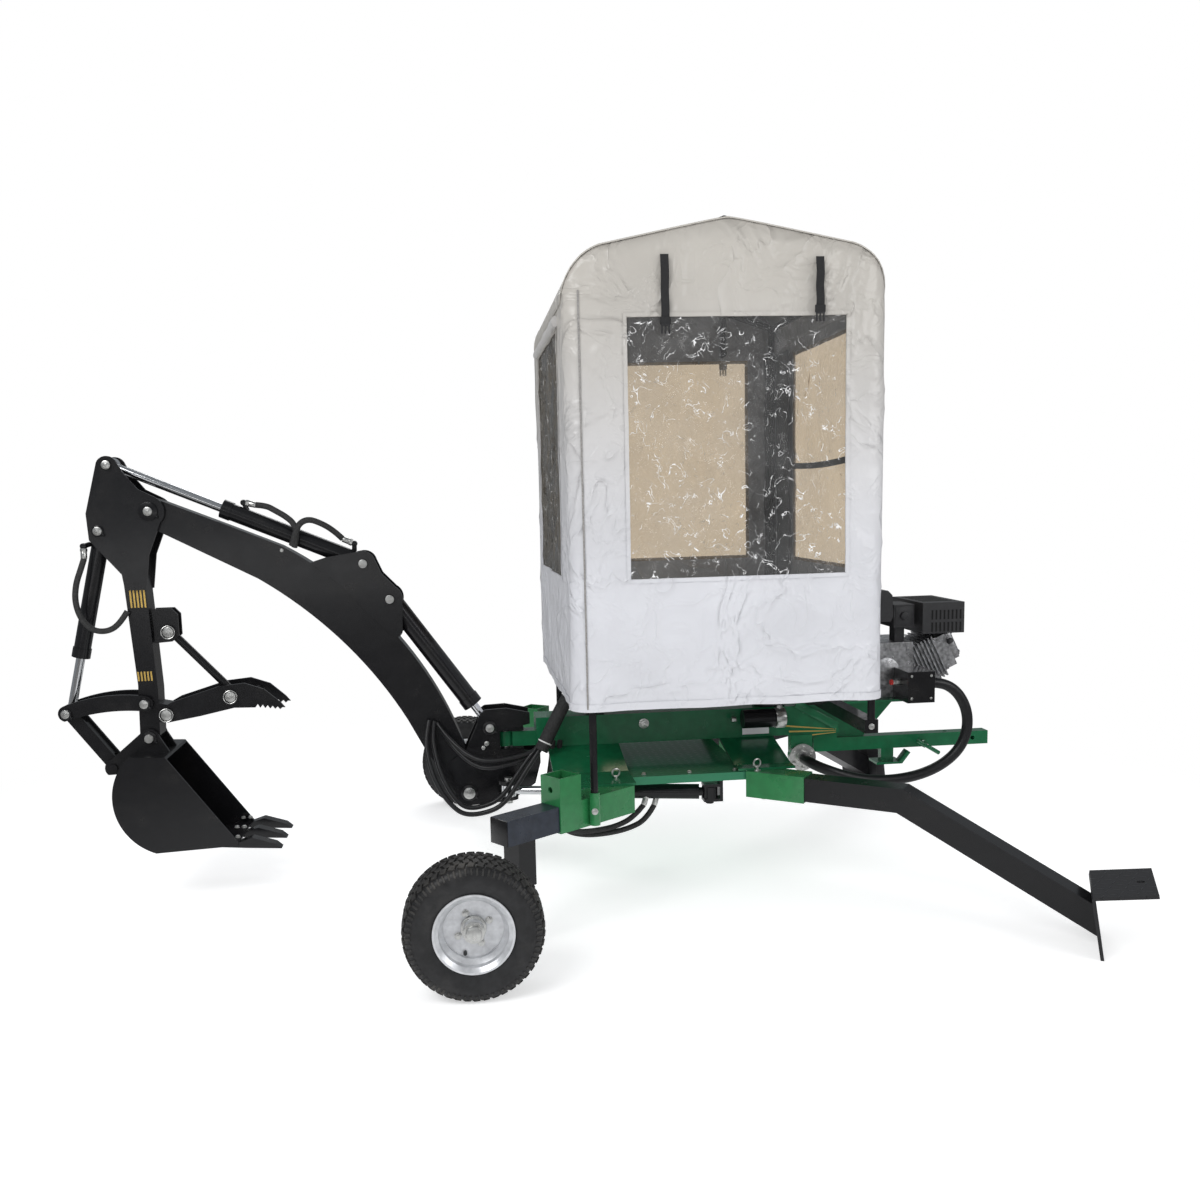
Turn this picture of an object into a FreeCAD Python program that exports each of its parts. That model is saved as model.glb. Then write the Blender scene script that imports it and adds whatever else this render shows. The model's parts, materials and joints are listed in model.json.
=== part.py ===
# Towable backhoe with a canvas cabin, its own engine, two wheels and two stabiliser feet.
# Millimetres. +X runs along the beam to the drawbar, +Y to the far side, +Z up, ground at 0.
# Every size is a cell of the sheet "Sizes", and every piece is bound to those cells.

import FreeCAD, Part
import math
import os
import Sketcher
from FreeCAD import Rotation, Vector

doc = FreeCAD.newDocument("Backhoe")
sheet = doc.addObject("Spreadsheet::Sheet", "Sizes")


class Size:
    """A number with the expression that the document works it out from."""

    def __init__(self, text, value):
        self.text = text
        self.value = float(value)

    def __add__(self, other):
        other = size_of(other)
        return Size(f"({self.text} + {other.text})", self.value + other.value)

    def __sub__(self, other):
        other = size_of(other)
        return Size(f"({self.text} - {other.text})", self.value - other.value)

    def __mul__(self, other):
        other = size_of(other)
        return Size(f"({self.text} * {other.text})", self.value * other.value)

    def __truediv__(self, other):
        other = size_of(other)
        return Size(f"({self.text} / {other.text})", self.value / other.value)

    def __neg__(self):
        return Size(f"(0 - {self.text})", -self.value)

    def __radd__(self, other):
        return size_of(other) + self

    def __rsub__(self, other):
        return size_of(other) - self

    def __rmul__(self, other):
        return size_of(other) * self


def size_of(value):
    if isinstance(value, Size):
        return value
    return Size(f"({value:.6g})" if value < 0 else f"{value:.6g}", value)


def sine(angle):
    return Size(f"sin({angle.text})", math.sin(math.radians(angle.value)))


def cosine(angle):
    return Size(f"cos({angle.text})", math.cos(math.radians(angle.value)))


def root(number):
    return Size(f"sqrt({number.text})", math.sqrt(number.value))


def distance(start, end):
    """Length between two points given as tuples of two sizes."""
    along = end[0] - start[0]
    up = end[1] - start[1]
    return root(along * along + up * up)


# Sizes: name, millimetres or degrees, what it is
SIZES = (
    # Frame and stance
    ("swing_x", -179.6, "swing axis from the middle of the machine"),
    ("beam_start", 110, "beam's boom end from the swing axis"),
    ("beam_over", 40, "beam past the cabin's drawbar wall"),
    ("beam_wide", 120, "beam"),
    ("beam_low", 484, "underside of the beam"),
    ("beam_tall", 108, "beam"),
    ("beam_cut", 80, "sloped end of the beam, along"),
    ("nose_start", 24, "nose tube from the swing axis"),
    ("nose_wide", 64, "nose tube"),
    ("nose_tall", 54, "nose tube"),
    ("nose_low", 486, "underside of the nose tube"),
    ("bar_side", 50, "drawbar tube"),
    ("bar_wall", 4, "drawbar tube"),
    ("bar_low", 407, "underside of the drawbar"),
    ("bar_lap", 90, "drawbar below the beam"),
    ("bar_reach", 590, "drawbar past the beam"),
    ("bar_hole", 8, "drawbar's cross hole radius"),
    ("stand_x", 200, "drawbar's short stand past the beam"),
    # Legs, seen from above they splay out from the beam
    ("splay", 36.7, "legs from the beam's axis"),
    ("leg_side", 80, "square leg tube"),
    ("leg_wall", 4, "leg tube"),
    ("sleeve_wall", 5, "sleeve round a leg"),
    ("sleeve_fit", 0.3, "leg inside its sleeve, each side"),
    ("leg_top", 422, "top of the leg tubes"),
    ("front_root_x", 376, "wheel leg sleeve's inner end from the swing axis"),
    ("front_root_y", 416, "wheel leg sleeve's inner end from the beam's middle"),
    ("front_sleeve", 330, "wheel leg sleeve"),
    ("leg_gap", 683.5, "track less the wheel leg's reach to the side"),
    ("rear_root_x", 836, "foot leg sleeve's inner end from the swing axis"),
    ("rear_root_y", 301, "foot leg sleeve's inner end from the beam's middle"),
    ("rear_sleeve", 205, "foot leg sleeve"),
    ("rear_level", 530, "foot leg's level run from the sleeve's inner end"),
    ("rear_slope", 27, "foot leg's slope"),
    ("socket_side", 90, "upright stow socket"),
    ("socket_tall", 85, "upright stow socket"),
    ("socket_hole", 10, "stow socket's pin hole radius"),
    ("wing_thick", 8, "sloped plates that carry the sleeves"),
    ("foot_wide", 250, "foot plate"),
    ("foot_plate", 10, "foot plate thickness"),
    ("foot_blade", 188, "foot blade height"),
    ("foot_lean", 9, "foot blade from upright"),
    ("foot_turn", 8, "foot plate from square to its leg"),
    ("foot_tread", 165, "foot plate's depth"),
    ("foot_hole", 11, "foot plate's peg hole radius"),
    ("foot_away", 585, "foot blade from the foot leg's bend"),
    # Wheels
    ("axle_off", 89.7, "wheel axle past the wheel leg's end"),
    ("track_half", 1005, "wheel's middle from the beam's middle"),
    ("tyre_radius", 199, "tyre"),
    ("tyre_wide", 156, "tyre"),
    ("rim_radius", 114, "rim flange"),
    ("rim_wide", 140, "rim over its flanges"),
    ("bead_radius", 101, "rim's bead seat"),
    ("axle_radius", 16, "stub axle"),
    ("hub_radius", 29, "wheel hub"),
    # Platform
    ("deck_top", 424, "platform"),
    ("deck_thick", 5, "platform"),
    ("deck_start", 395, "platform from the swing axis"),
    ("deck_length", 420, "platform"),
    ("deck_half", 330, "platform from the beam's middle"),
    ("deck_fold", 28, "platform's folded edge"),
    # Swing frame and kingpin
    ("king_radius", 17, "kingpin"),
    ("king_boss", 30, "kingpin boss radius"),
    ("king_gap", 6, "swing plates above and below the nose"),
    ("swing_plate", 12, "swing frame plates"),
    ("swing_lever", 140, "swing cylinder's pin from the kingpin"),
    ("swing_pin_z", 352, "swing cylinder's height"),
    ("swing_base_x", 690, "swing cylinder's base pin from the swing axis"),
    ("swing_base_y", 300, "swing cylinder's base pin from the beam's middle"),
    # Boom group
    ("foot_pin_x", -139, "boom foot pin from the swing axis"),
    ("foot_pin_z", 326, "boom foot pin"),
    ("lift_low_x", 82, "lift cylinder's low pin from the boom foot"),
    ("lift_low_z", 236, "lift cylinder's low pin from the boom foot"),
    ("lift_top_x", -253, "lift cylinder's top pin from the boom foot"),
    ("lift_top_z", 713, "lift cylinder's top pin from the boom foot"),
    ("crowd_base_x", -340, "crowd cylinder's base pin from the boom foot"),
    ("crowd_base_z", 841, "crowd cylinder's base pin from the boom foot"),
    ("boom_x", -1055, "arm pivot from the boom foot"),
    ("boom_z", 1043, "arm pivot from the boom foot"),
    ("arm_top_x", -126, "arm's top pin from the arm pivot"),
    ("arm_top_z", 160, "arm's top pin from the arm pivot"),
    ("curl_base_x", -171, "bucket cylinder's base pin from the arm pivot"),
    ("curl_base_z", -62, "bucket cylinder's base pin from the arm pivot"),
    ("arm_x", -53, "bucket pin from the arm pivot"),
    ("arm_z", -788, "bucket pin from the arm pivot"),
    ("guide_x", -7, "guide link's pin from the bucket pin"),
    ("guide_z", 123, "guide link's pin from the bucket pin"),
    ("link_x", -273, "bucket link's top pin from the bucket pin"),
    ("link_z", 100, "bucket link's top pin from the bucket pin"),
    ("tail_x", -128, "bucket's rear pin from the bucket pin"),
    ("tail_z", -100, "bucket's rear pin from the bucket pin"),
    ("thumb_x", 70, "thumb's pin from the bucket pin"),
    ("thumb_z", 84, "thumb's pin from the bucket pin"),
    ("strut_x", 85, "thumb strut's pin from the bucket pin"),
    ("strut_z", 369, "thumb strut's pin from the bucket pin"),
    ("jaw_x", 291, "strut's pin on the thumb from the bucket pin"),
    ("jaw_z", 139, "strut's pin on the thumb from the bucket pin"),
    ("boom_wide", 80, "boom box"),
    ("ear_plate", 10, "ear plates"),
    ("side_gap", 3, "running gap beside a pivot"),
    ("pin_radius", 14, "pivot pins"),
    ("foot_pin_radius", 20, "boom foot pin"),
    ("pin_fit", 0.05, "pin in its bore"),
    ("ram_radius", 30, "crowd and bucket cylinder barrels"),
    ("lift_ram", 34, "lift cylinder barrel"),
    ("rod_radius", 15, "cylinder rod"),
    ("rod_fit", 0.05, "rod in its gland"),
    ("swing_ram", 26, "swing cylinder barrel"),
    ("eye_radius", 27, "cylinder eyes"),
    ("eye_wide", 40, "cylinder eyes"),
    ("lift_barrel", 485, "lift cylinder barrel from its pin"),
    ("lift_close", 66, "lift rod travel into its barrel"),
    ("crowd_barrel", 520, "crowd cylinder barrel from its pin"),
    ("crowd_close", 206, "crowd rod travel into its barrel"),
    ("curl_barrel", 450, "bucket cylinder barrel from its pin"),
    ("curl_close", 140, "curl rod travel into its barrel"),
    ("swing_barrel", 400, "swing cylinder barrel from its pin"),
    ("swing_close", 130, "swing rod travel into its barrel"),
    ("link_plate", 12, "guide links"),
    ("bucket_wide", 300, "bucket"),
    ("bucket_wall", 8, "bucket plate"),
    ("tooth_pitch", 122, "bucket teeth"),
    ("jaw_gap", 120, "thumb plates, inside"),
    ("jaw_plate", 10, "thumb plates"),
    # Cabin
    ("cabin_start", 190, "cabin's boom wall from the swing axis"),
    ("cabin_length", 1010, "cabin"),
    ("cabin_half", 600, "cabin's side wall from the beam's middle"),
    ("cabin_low", 710, "cabin's lower hem"),
    ("gable", 137, "cabin's shoulders below its ridge"),
    ("cabin_ridge", 2222, "cabin's ridge"),
    ("cabin_round", 60, "cabin's upright corners"),
    ("canvas", 5, "canvas, folds and seams included"),
    ("window_start", 193, "side window from the cabin's boom wall"),
    ("window_length", 679, "side window"),
    ("window_tall", 786, "windows"),
    ("window_below", 180, "windows below the shoulders"),
    ("end_window_half", 360, "end windows from the beam's middle"),
    ("vinyl", 2, "window sheet"),
    ("post_radius", 12, "cabin frame tube"),
    ("post_inset", 36, "drawbar end posts from the cabin's walls"),
    ("post_side", 17.3, "boom end posts from the cabin's side walls"),
    ("cross_side", 44, "cross beam"),
    ("clamp_radius", 17, "post clamps on the wheel leg sleeves"),
    ("clamp_tall", 105, "post clamps on the wheel leg sleeves"),
    # Engine
    ("engine_away", 185, "crankshaft from the cabin's drawbar wall"),
    ("engine_y", -20, "engine's middle"),
    ("mount_top", 624, "engine mount plate"),
    ("mount_thick", 8, "engine mount plate"),
    ("crank_up", 106, "crankshaft above the mount"),
    ("hose_radius", 19, "suction hose"),
)


def fill_sheet():
    for row, (name, value, _words) in enumerate(SIZES, start=1):
        sheet.set(f"A{row}", str(value))
        sheet.setAlias(f"A{row}", name)
    doc.recompute()
    return {name: Size(f"Sizes.{name}", value) for name, value, _words in SIZES}


size = fill_sheet()
ZERO = size_of(0)


def bind(thing, name, value):
    """Set a property and tie it to the sheet."""
    value = size_of(value)
    if "Sizes." in value.text or "." in name:
        thing.setExpression(name, value.text)
    else:
        setattr(thing, name, value.value)


def place(thing, x=0, y=0, z=0, turn=None):
    """Put an object at x, y, z; turn is an axis and an angle in degrees."""
    if turn is not None:
        axis, angle = turn
        angle = size_of(angle)
        thing.Placement = FreeCAD.Placement(Vector(0, 0, 0), Rotation(Vector(*axis), angle.value))
        bind(thing, "Placement.Rotation.Angle", angle)
    for letter, value in (("x", x), ("y", y), ("z", z)):
        bind(thing, f"Placement.Base.{letter}", value)
    return thing


counter = {"made": 0}


def new(kind, stem):
    counter["made"] += 1
    return doc.addObject(kind, f"{stem}_{counter['made']}")


def box(x, y, z, dx, dy, dz, turn=None):
    """Block with its low corner at x, y, z."""
    thing = new("Part::Box", "Block")
    for name, value in (("Length", dx), ("Width", dy), ("Height", dz)):
        bind(thing, name, value)
    return place(thing, x, y, z, turn)


def block(x, y, z, dx, dy, dz):
    """Block centred on y."""
    dy = size_of(dy)
    return box(x, size_of(y) - dy / 2, z, dx, dy, dz)


AXIS_TURN = {"x": ((0, 1, 0), 90), "y": ((1, 0, 0), -90), "z": None}


def rod(axis, x, y, z, radius, length):
    """Round bar that starts at x, y, z and runs along an axis."""
    thing = new("Part::Cylinder", "Round")
    bind(thing, "Radius", radius)
    bind(thing, "Height", length)
    return place(thing, x, y, z, AXIS_TURN[axis])


def pin(x, z, radius, half, y=0):
    """Round bar along Y, from y - half to y + half."""
    half = size_of(half)
    return rod("y", x, size_of(y) - half, z, radius, half * 2)


def fuse(*things):
    """Join pieces into one."""
    if len(things) == 1:
        return things[0]
    joined = new("Part::MultiFuse", "Joined")
    joined.Shapes = list(things)
    return joined


def cut(body, *tools):
    """Take the tools out of a piece."""
    result = new("Part::Cut", "Trimmed")
    result.Base = body
    result.Tool = fuse(*tools)
    return result


def gather(*things):
    """Several solids that don't touch, in one piece."""
    group = new("Part::Compound", "Group")
    group.Links = list(things)
    return group


def mirrored(thing, normal=(0, 1, 0)):
    copy = new("Part::Mirroring", "Mirror")
    copy.Source = thing
    copy.Normal = Vector(*normal)
    copy.Base = Vector(0, 0, 0)
    return copy


def pair(thing):
    """A piece and its mirror image on the other side."""
    return gather(thing, mirrored(thing))


nodes = []


def node(name, thing):
    thing.Label = name
    nodes.append(thing)
    return thing


def arc_centre(start, end, radius):
    """Centre of the arc from start to end; a positive radius bulges to the right of the way."""
    middle = ((start[0] + end[0]) / 2, (start[1] + end[1]) / 2)
    along = (end[0] - start[0], end[1] - start[1])
    chord = math.hypot(*along)
    rise = math.sqrt(max(radius * radius - chord * chord / 4, 0))
    side = (-along[1] / chord, along[0] / chord)
    sign = 1 if radius > 0 else -1
    return (middle[0] + sign * side[0] * rise, middle[1] + sign * side[1] * rise)


def add_outline(sketch, points):
    """Closed outline; a point is (u, v) or (u, v, radius of the arc that leaves it)."""
    first = len(sketch.Geometry)
    values = [(size_of(p[0]).value, size_of(p[1]).value) for p in points]
    count = len(points)
    for i, point in enumerate(points):
        start, end = values[i], values[(i + 1) % count]
        if len(point) == 2:
            edge = Part.LineSegment(Vector(*start, 0), Vector(*end, 0))
        else:
            radius = size_of(point[2]).value
            centre = arc_centre(start, end, radius)
            spin = [math.atan2(p[1] - centre[1], p[0] - centre[0]) for p in (start, end)]
            if radius < 0:
                spin.reverse()
            circle = Part.Circle(Vector(*centre, 0), Vector(0, 0, 1), abs(radius))
            edge = Part.ArcOfCircle(circle, spin[0], spin[1])
        sketch.addGeometry(edge, False)
    reversed_arc = [len(p) == 3 and size_of(p[2]).value < 0 for p in points]
    for i, point in enumerate(points):
        this, following = first + i, first + (i + 1) % count
        leave = 2 if reversed_arc[i] else 1
        reach = 1 if reversed_arc[i] else 2
        next_leave = 2 if reversed_arc[(i + 1) % count] else 1
        sketch.addConstraint(Sketcher.Constraint("Coincident", this, reach, following, next_leave))
        for kind, value in (("DistanceX", point[0]), ("DistanceY", point[1])):
            value = size_of(value)
            number = sketch.addConstraint(
                Sketcher.Constraint(kind, -1, 1, this, leave, value.value))
            if "Sizes." in value.text:
                sketch.setExpression(f"Constraints[{number}]", value.text)
        if len(point) == 3:
            radius = size_of(point[2])
            number = sketch.addConstraint(Sketcher.Constraint("Radius", this, abs(radius.value)))
            if "Sizes." in radius.text:
                text = radius.text if radius.value > 0 else (-radius).text
                sketch.setExpression(f"Constraints[{number}]", text)


def add_hole(sketch, u, v, radius):
    u, v, radius = size_of(u), size_of(v), size_of(radius)
    centre = Vector(u.value, v.value, 0)
    number = sketch.addGeometry(Part.Circle(centre, Vector(0, 0, 1), radius.value), False)
    rules = (("DistanceX", u), ("DistanceY", v))
    for kind, value in rules:
        rule = sketch.addConstraint(Sketcher.Constraint(kind, -1, 1, number, 3, value.value))
        if "Sizes." in value.text:
            sketch.setExpression(f"Constraints[{rule}]", value.text)
    rule = sketch.addConstraint(Sketcher.Constraint("Radius", number, radius.value))
    if "Sizes." in radius.text:
        sketch.setExpression(f"Constraints[{rule}]", radius.text)


# Sketch planes: axis and angle of the sketch, and the way it is pushed out
PLANES = {"side": ((1, 0, 0), 90, "y"), "top": (None, 0, "z"), "end": ((1, 1, 1), 120, "x")}


def plate(plane, outline, start, thick, holes=(), inner=()):
    """Flat piece: an outline pushed out from start by thick along the plane's own axis.

    side: u is X, v is Z, pushed along Y. top: u is X, v is Y, pushed along Z.
    end: u is Y, v is Z, pushed along X.
    """
    axis, angle, letter = PLANES[plane]
    sketch = new("Sketcher::SketchObject", "Outline")
    if axis is not None:
        sketch.Placement = FreeCAD.Placement(Vector(0, 0, 0), Rotation(Vector(*axis), angle))
    add_outline(sketch, outline)
    for more in inner:
        add_outline(sketch, more)
    for u, v, radius in holes:
        add_hole(sketch, u, v, radius)
    push = new("Part::Extrusion", "Plate")
    push.Base = sketch
    push.DirMode = "Custom"
    push.Dir = {"x": Vector(1, 0, 0), "y": Vector(0, 1, 0), "z": Vector(0, 0, 1)}[letter]
    push.Solid = True
    bind(push, "LengthFwd", thick)
    bind(push, f"Placement.Base.{letter}", start)
    return push


def both_sides(outline, inside, thick, holes=()):
    """Two upright plates, mirrored about the middle."""
    near = plate("side", outline, inside, thick, holes)
    return near, mirrored(near)


def spun(profile, axis, x, y, z):
    """Turned piece: a profile of (radius, along) points, spun about an axis through x, y, z."""
    sketch = new("Sketcher::SketchObject", "Profile")
    add_outline(sketch, profile)
    turned = new("Part::Revolution", "Turned")
    turned.Source = sketch
    turned.Axis = Vector(0, 1, 0)
    turned.Base = Vector(0, 0, 0)
    turned.Angle = 360
    turned.Solid = True
    turn = {"y": None, "z": ((1, 0, 0), 90), "x": ((0, 0, 1), -90)}[axis]
    return place(turned, x, y, z, turn)


def slab_between(start, end, width, y_low, thick):
    """Straight bar in the XZ plane from one point to another, square ended."""
    start = tuple(size_of(v) for v in start)
    end = tuple(size_of(v) for v in end)
    span = distance(start, end)
    along = ((end[0] - start[0]) / span, (end[1] - start[1]) / span)
    half = size_of(width) / 2
    side = (-along[1] * half, along[0] * half)
    corners = [
        (start[0] - side[0], start[1] - side[1]),
        (end[0] - side[0], end[1] - side[1]),
        (end[0] + side[0], end[1] + side[1]),
        (start[0] + side[0], start[1] + side[1]),
    ]
    return plate("side", corners, y_low, thick)


def bar_between(start, end, radius, begin, length, y=0):
    """Round bar in the XZ plane on the line from start to end, from begin on, length long."""
    start = tuple(size_of(v) for v in start)
    end = tuple(size_of(v) for v in end)
    span = distance(start, end)
    along = ((end[0] - start[0]) / span, (end[1] - start[1]) / span)
    thing = new("Part::Cylinder", "Round")
    bind(thing, "Radius", radius)
    bind(thing, "Height", length)
    angle = math.degrees(math.atan2(along[0].value, along[1].value))
    text = f"atan2({along[0].text}; {along[1].text})"
    begin = size_of(begin)
    return place(thing, start[0] + along[0] * begin, y, start[1] + along[1] * begin,
                 ((0, 1, 0), Size(text, angle)))


def point(base, name):
    """A pin's place from the place of the pin that it is measured from."""
    return (base[0] + size[name + "_x"], base[1] + size[name + "_z"])


# Pins of the arms, as X and Z
foot_pin = (size["swing_x"] + size["foot_pin_x"], size["foot_pin_z"])
lift_low = point(foot_pin, "lift_low")
lift_top = point(foot_pin, "lift_top")
crowd_base = point(foot_pin, "crowd_base")
arm_pivot = point(foot_pin, "boom")
arm_top = point(arm_pivot, "arm_top")
curl_base = point(arm_pivot, "curl_base")
bucket_pin = point(arm_pivot, "arm")
guide_pin = point(bucket_pin, "guide")
link_pin = point(bucket_pin, "link")
tail_pin = point(bucket_pin, "tail")
thumb_pin = point(bucket_pin, "thumb")
strut_pin = point(bucket_pin, "strut")
jaw_pin = point(bucket_pin, "jaw")


def off(base, x, z, *radius):
    """A point at x, z from a pin, with the radius of the arc that leaves it."""
    return (base[0] + x, base[1] + z, *radius)


# Half widths across the arms, from the middle outwards
boom_half = size["boom_wide"] / 2
ear_out = boom_half + size["ear_plate"]
cheek_in = boom_half + size["side_gap"]
cheek_out = cheek_in + size["ear_plate"]
eye_half = size["eye_wide"] / 2
bore = size["pin_radius"] + size["pin_fit"]
foot_bore = size["foot_pin_radius"] + size["pin_fit"]


sx = size["swing_x"]
beam_top = size["beam_low"] + size["beam_tall"]
cabin_x = sx + size["cabin_start"]
cabin_end = cabin_x + size["cabin_length"]
cabin_eave = size["cabin_ridge"] - size["gable"]
window_low = cabin_eave - size["window_below"] - size["window_tall"]
beam_end = cabin_end + size["beam_over"]
bar_start = beam_end - size["bar_lap"]
bar_end = beam_end + size["bar_reach"]
front_reach = (size["track_half"] - size["leg_gap"]) / sine(size["splay"])
axle_x = (sx + size["front_root_x"] - front_reach * cosine(size["splay"]) - size["axle_off"])
sleeve_side = size["leg_side"] + (size["sleeve_fit"] + size["sleeve_wall"]) * 2
sleeve_top = size["leg_top"] + size["sleeve_fit"] + size["sleeve_wall"]
king_top_plate = size["nose_low"] + size["nose_tall"] + size["king_gap"]
king_low_plate = size["nose_low"] - size["king_gap"] - size["swing_plate"]


left_post = cabin_x + 64
left_post_y = -size["cabin_half"] + size["post_side"]
post_low = size["leg_top"] - size["leg_side"]


def square_tube(start, length, side, wall, top):
    """Open square tube along X, centred on Y."""
    outer = block(start, 0, top - side, length, side, side)
    inner = block(start, 0, top - side + wall, length, side - wall * 2, side - wall * 2)
    return cut(outer, inner)


def on_leg(thing, root, angle):
    """Put a piece that was made along +X onto the near leg, then add its mirror image."""
    root_x = sx + size[root + "_root_x"]
    whole = gather(thing)
    place(whole, root_x, -size[root + "_root_y"], 0, ((0, 0, 1), angle))
    return pair(whole)


FRONT_ANGLE = size["splay"] - 180
REAR_ANGLE = -size["splay"]


def main_frame():
    start = sx + size["beam_start"]
    end = beam_end
    beam = plate("side", [
        (start, size["beam_low"]),
        (end, size["beam_low"]),
        (end - size["beam_cut"] * 0.1, size["beam_low"] + 30),
        (end - size["beam_cut"], beam_top),
        (start, beam_top),
    ], -size["beam_wide"] / 2, size["beam_wide"])
    nose = block(sx + size["nose_start"], 0, size["nose_low"],
                 size["beam_start"], size["nose_wide"], size["nose_tall"])
    boss = rod("z", sx, 0, size["nose_low"], size["king_boss"], size["nose_tall"])
    bore = rod("z", sx, 0, size["nose_low"], size["king_radius"] + size["pin_fit"],
               size["nose_tall"])
    return node("main_frame", cut(fuse(beam, nose, boss), bore))


def wing(name, x_start, x_end, root):
    """Sloped plates from the beam's underside down to the sleeves."""
    thick = size["wing_thick"]
    outer = size[root + "_root_y"] + 30
    inner = size["beam_wide"] / 2 - 20
    knee = size["deck_half"] - 60
    near = plate("end", [
        (-outer, sleeve_top),
        (-knee, sleeve_top),
        (-inner - thick, size["beam_low"] - thick),
        (-inner, size["beam_low"] - thick),
        (-inner, size["beam_low"]),
        (-inner - thick * 2, size["beam_low"]),
        (-knee - thick, sleeve_top + thick),
        (-outer, sleeve_top + thick),
    ], sx + x_start, x_end - x_start)
    return pair(near)


def wings():
    front = wing("front", size_of(150), size_of(410), "front")
    rear = wing("rear", size_of(785), size_of(985), "rear")
    return node("wing_plates", gather(front, rear))


def sleeves():
    """Square sleeves that hold the legs, with the cabin post clamps on the front pair."""
    front = square_tube(0, size["front_sleeve"], sleeve_side, size["sleeve_wall"], sleeve_top)
    rear = square_tube(0, size["rear_sleeve"], sleeve_side, size["sleeve_wall"], sleeve_top)
    near = place(gather(front), sx + size["front_root_x"], -size["front_root_y"], 0,
                 ((0, 0, 1), FRONT_ANGLE))
    clamp = rod("z", left_post, left_post_y, post_low, size["clamp_radius"], size["clamp_tall"])
    room = rod("z", left_post, left_post_y, post_low, size["post_radius"] + size["pin_fit"],
               size["clamp_tall"])
    node("wheel_leg_sleeves", pair(cut(fuse(near, clamp), room)))
    node("foot_leg_sleeves", on_leg(rear, "rear", REAR_ANGLE))


def stow_sockets():
    """Upright square sockets on the outer ends of the front sleeves."""
    side = size["socket_side"]
    wall = size["sleeve_wall"]
    along = size["front_sleeve"] - side
    outer = block(along, 0, sleeve_top, side, side, size["socket_tall"])
    inner = block(along + wall, 0, sleeve_top, side - wall * 2, side - wall * 2,
                  size["socket_tall"])
    hole = rod("x", along, 0, sleeve_top + size["socket_tall"] / 2, size["socket_hole"],
               side)
    return node("stow_sockets", on_leg(cut(outer, inner, hole), "front", FRONT_ANGLE))


def wheel_legs():
    leg = square_tube(0, front_reach, size["leg_side"], size["leg_wall"],
                      size["leg_top"])
    return node("wheel_legs", on_leg(leg, "front", FRONT_ANGLE))


axle_z = size["tyre_radius"]
arm_side = size["axle_radius"] * 3
axle_inner = size["track_half"] - size["rim_wide"] / 2 - 145


def wheel_carriers():
    """Upright and arm below each wheel leg, with the stub axle."""
    low = axle_z + arm_side / 2
    leg_low = size["leg_top"] - size["leg_side"]
    start = front_reach - 110
    upright = block(start, 0, axle_z, arm_side * 1.4, size["leg_side"] - 8, leg_low - axle_z)
    arm = block(start, 0, axle_z - arm_side / 2, 232, arm_side, arm_side)
    local = fuse(upright, arm)
    place(local, sx + size["front_root_x"], -size["front_root_y"], 0, ((0, 0, 1), FRONT_ANGLE))
    axle = rod("y", axle_x, -size["track_half"] - 58, axle_z,
               size["axle_radius"], size["track_half"] + 58 - 800)
    return node("wheel_carriers", pair(fuse(local, axle)))


def foot_piece(outline, wide, foot, hole=None):
    """A piece made round the blade's lower edge, then turned and put at the leg's end."""
    whole = plate("side", outline, -wide / 2, wide)
    if hole is not None:
        whole = cut(whole, hole)
    return place(gather(whole), foot, 0, 0, ((0, 0, 1), size["foot_turn"]))


def foot_legs():
    """Bent legs on the drawbar end, each with a blade and a tread plate at its foot."""
    slope = sine(size["rear_slope"]) / cosine(size["rear_slope"])
    lean = sine(size["foot_lean"]) / cosine(size["foot_lean"])
    rise = sine(size["foot_lean"])
    run = cosine(size["foot_lean"])
    top = size["leg_top"]
    side = size["leg_side"]
    bend = size["rear_level"]
    foot = bend + size["foot_away"]
    skew = side / cosine(size["rear_slope"])
    bend_low = bend + (side - skew) / slope
    leg = plate("side", [
        (0, top - side),
        (bend_low, top - side),
        (foot, top - skew - (foot - bend) * slope),
        (foot, top - (foot - bend) * slope),
        (bend, top),
        (0, top),
    ], -side / 2, side)
    thick = size["foot_plate"]
    tall = size["foot_blade"]
    deep = size["foot_tread"]
    under = tall - thick
    back = under - thick * 0.4
    blade = [
        (-thick, 0),
        (0, 0),
        (-under * lean, under),
        (-under * lean + deep * run, under + deep * rise),
        (-under * lean + deep * run - thick * rise, under + deep * rise + thick * run),
        (-thick * 0.6 - tall * lean, tall),
        (-thick - back * lean, back),
    ]
    beyond = [(-thick + lean * 5, -5), (300, -5), (300, 400), (-thick - lean * 400, 400)]
    out = deep - 38
    hole = rod("z", 0, 0, -thick, size["foot_hole"], thick * 3)
    place(hole, -under * lean + out * run + thick * rise, 0, under + out * rise - thick * run,
          ((0, 1, 0), -size["foot_lean"]))
    node("foot_legs", on_leg(cut(leg, foot_piece(beyond, size["foot_wide"], foot)),
                             "rear", REAR_ANGLE))
    node("foot_plates", on_leg(foot_piece(blade, size["foot_wide"], foot, hole),
                               "rear", REAR_ANGLE))


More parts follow.
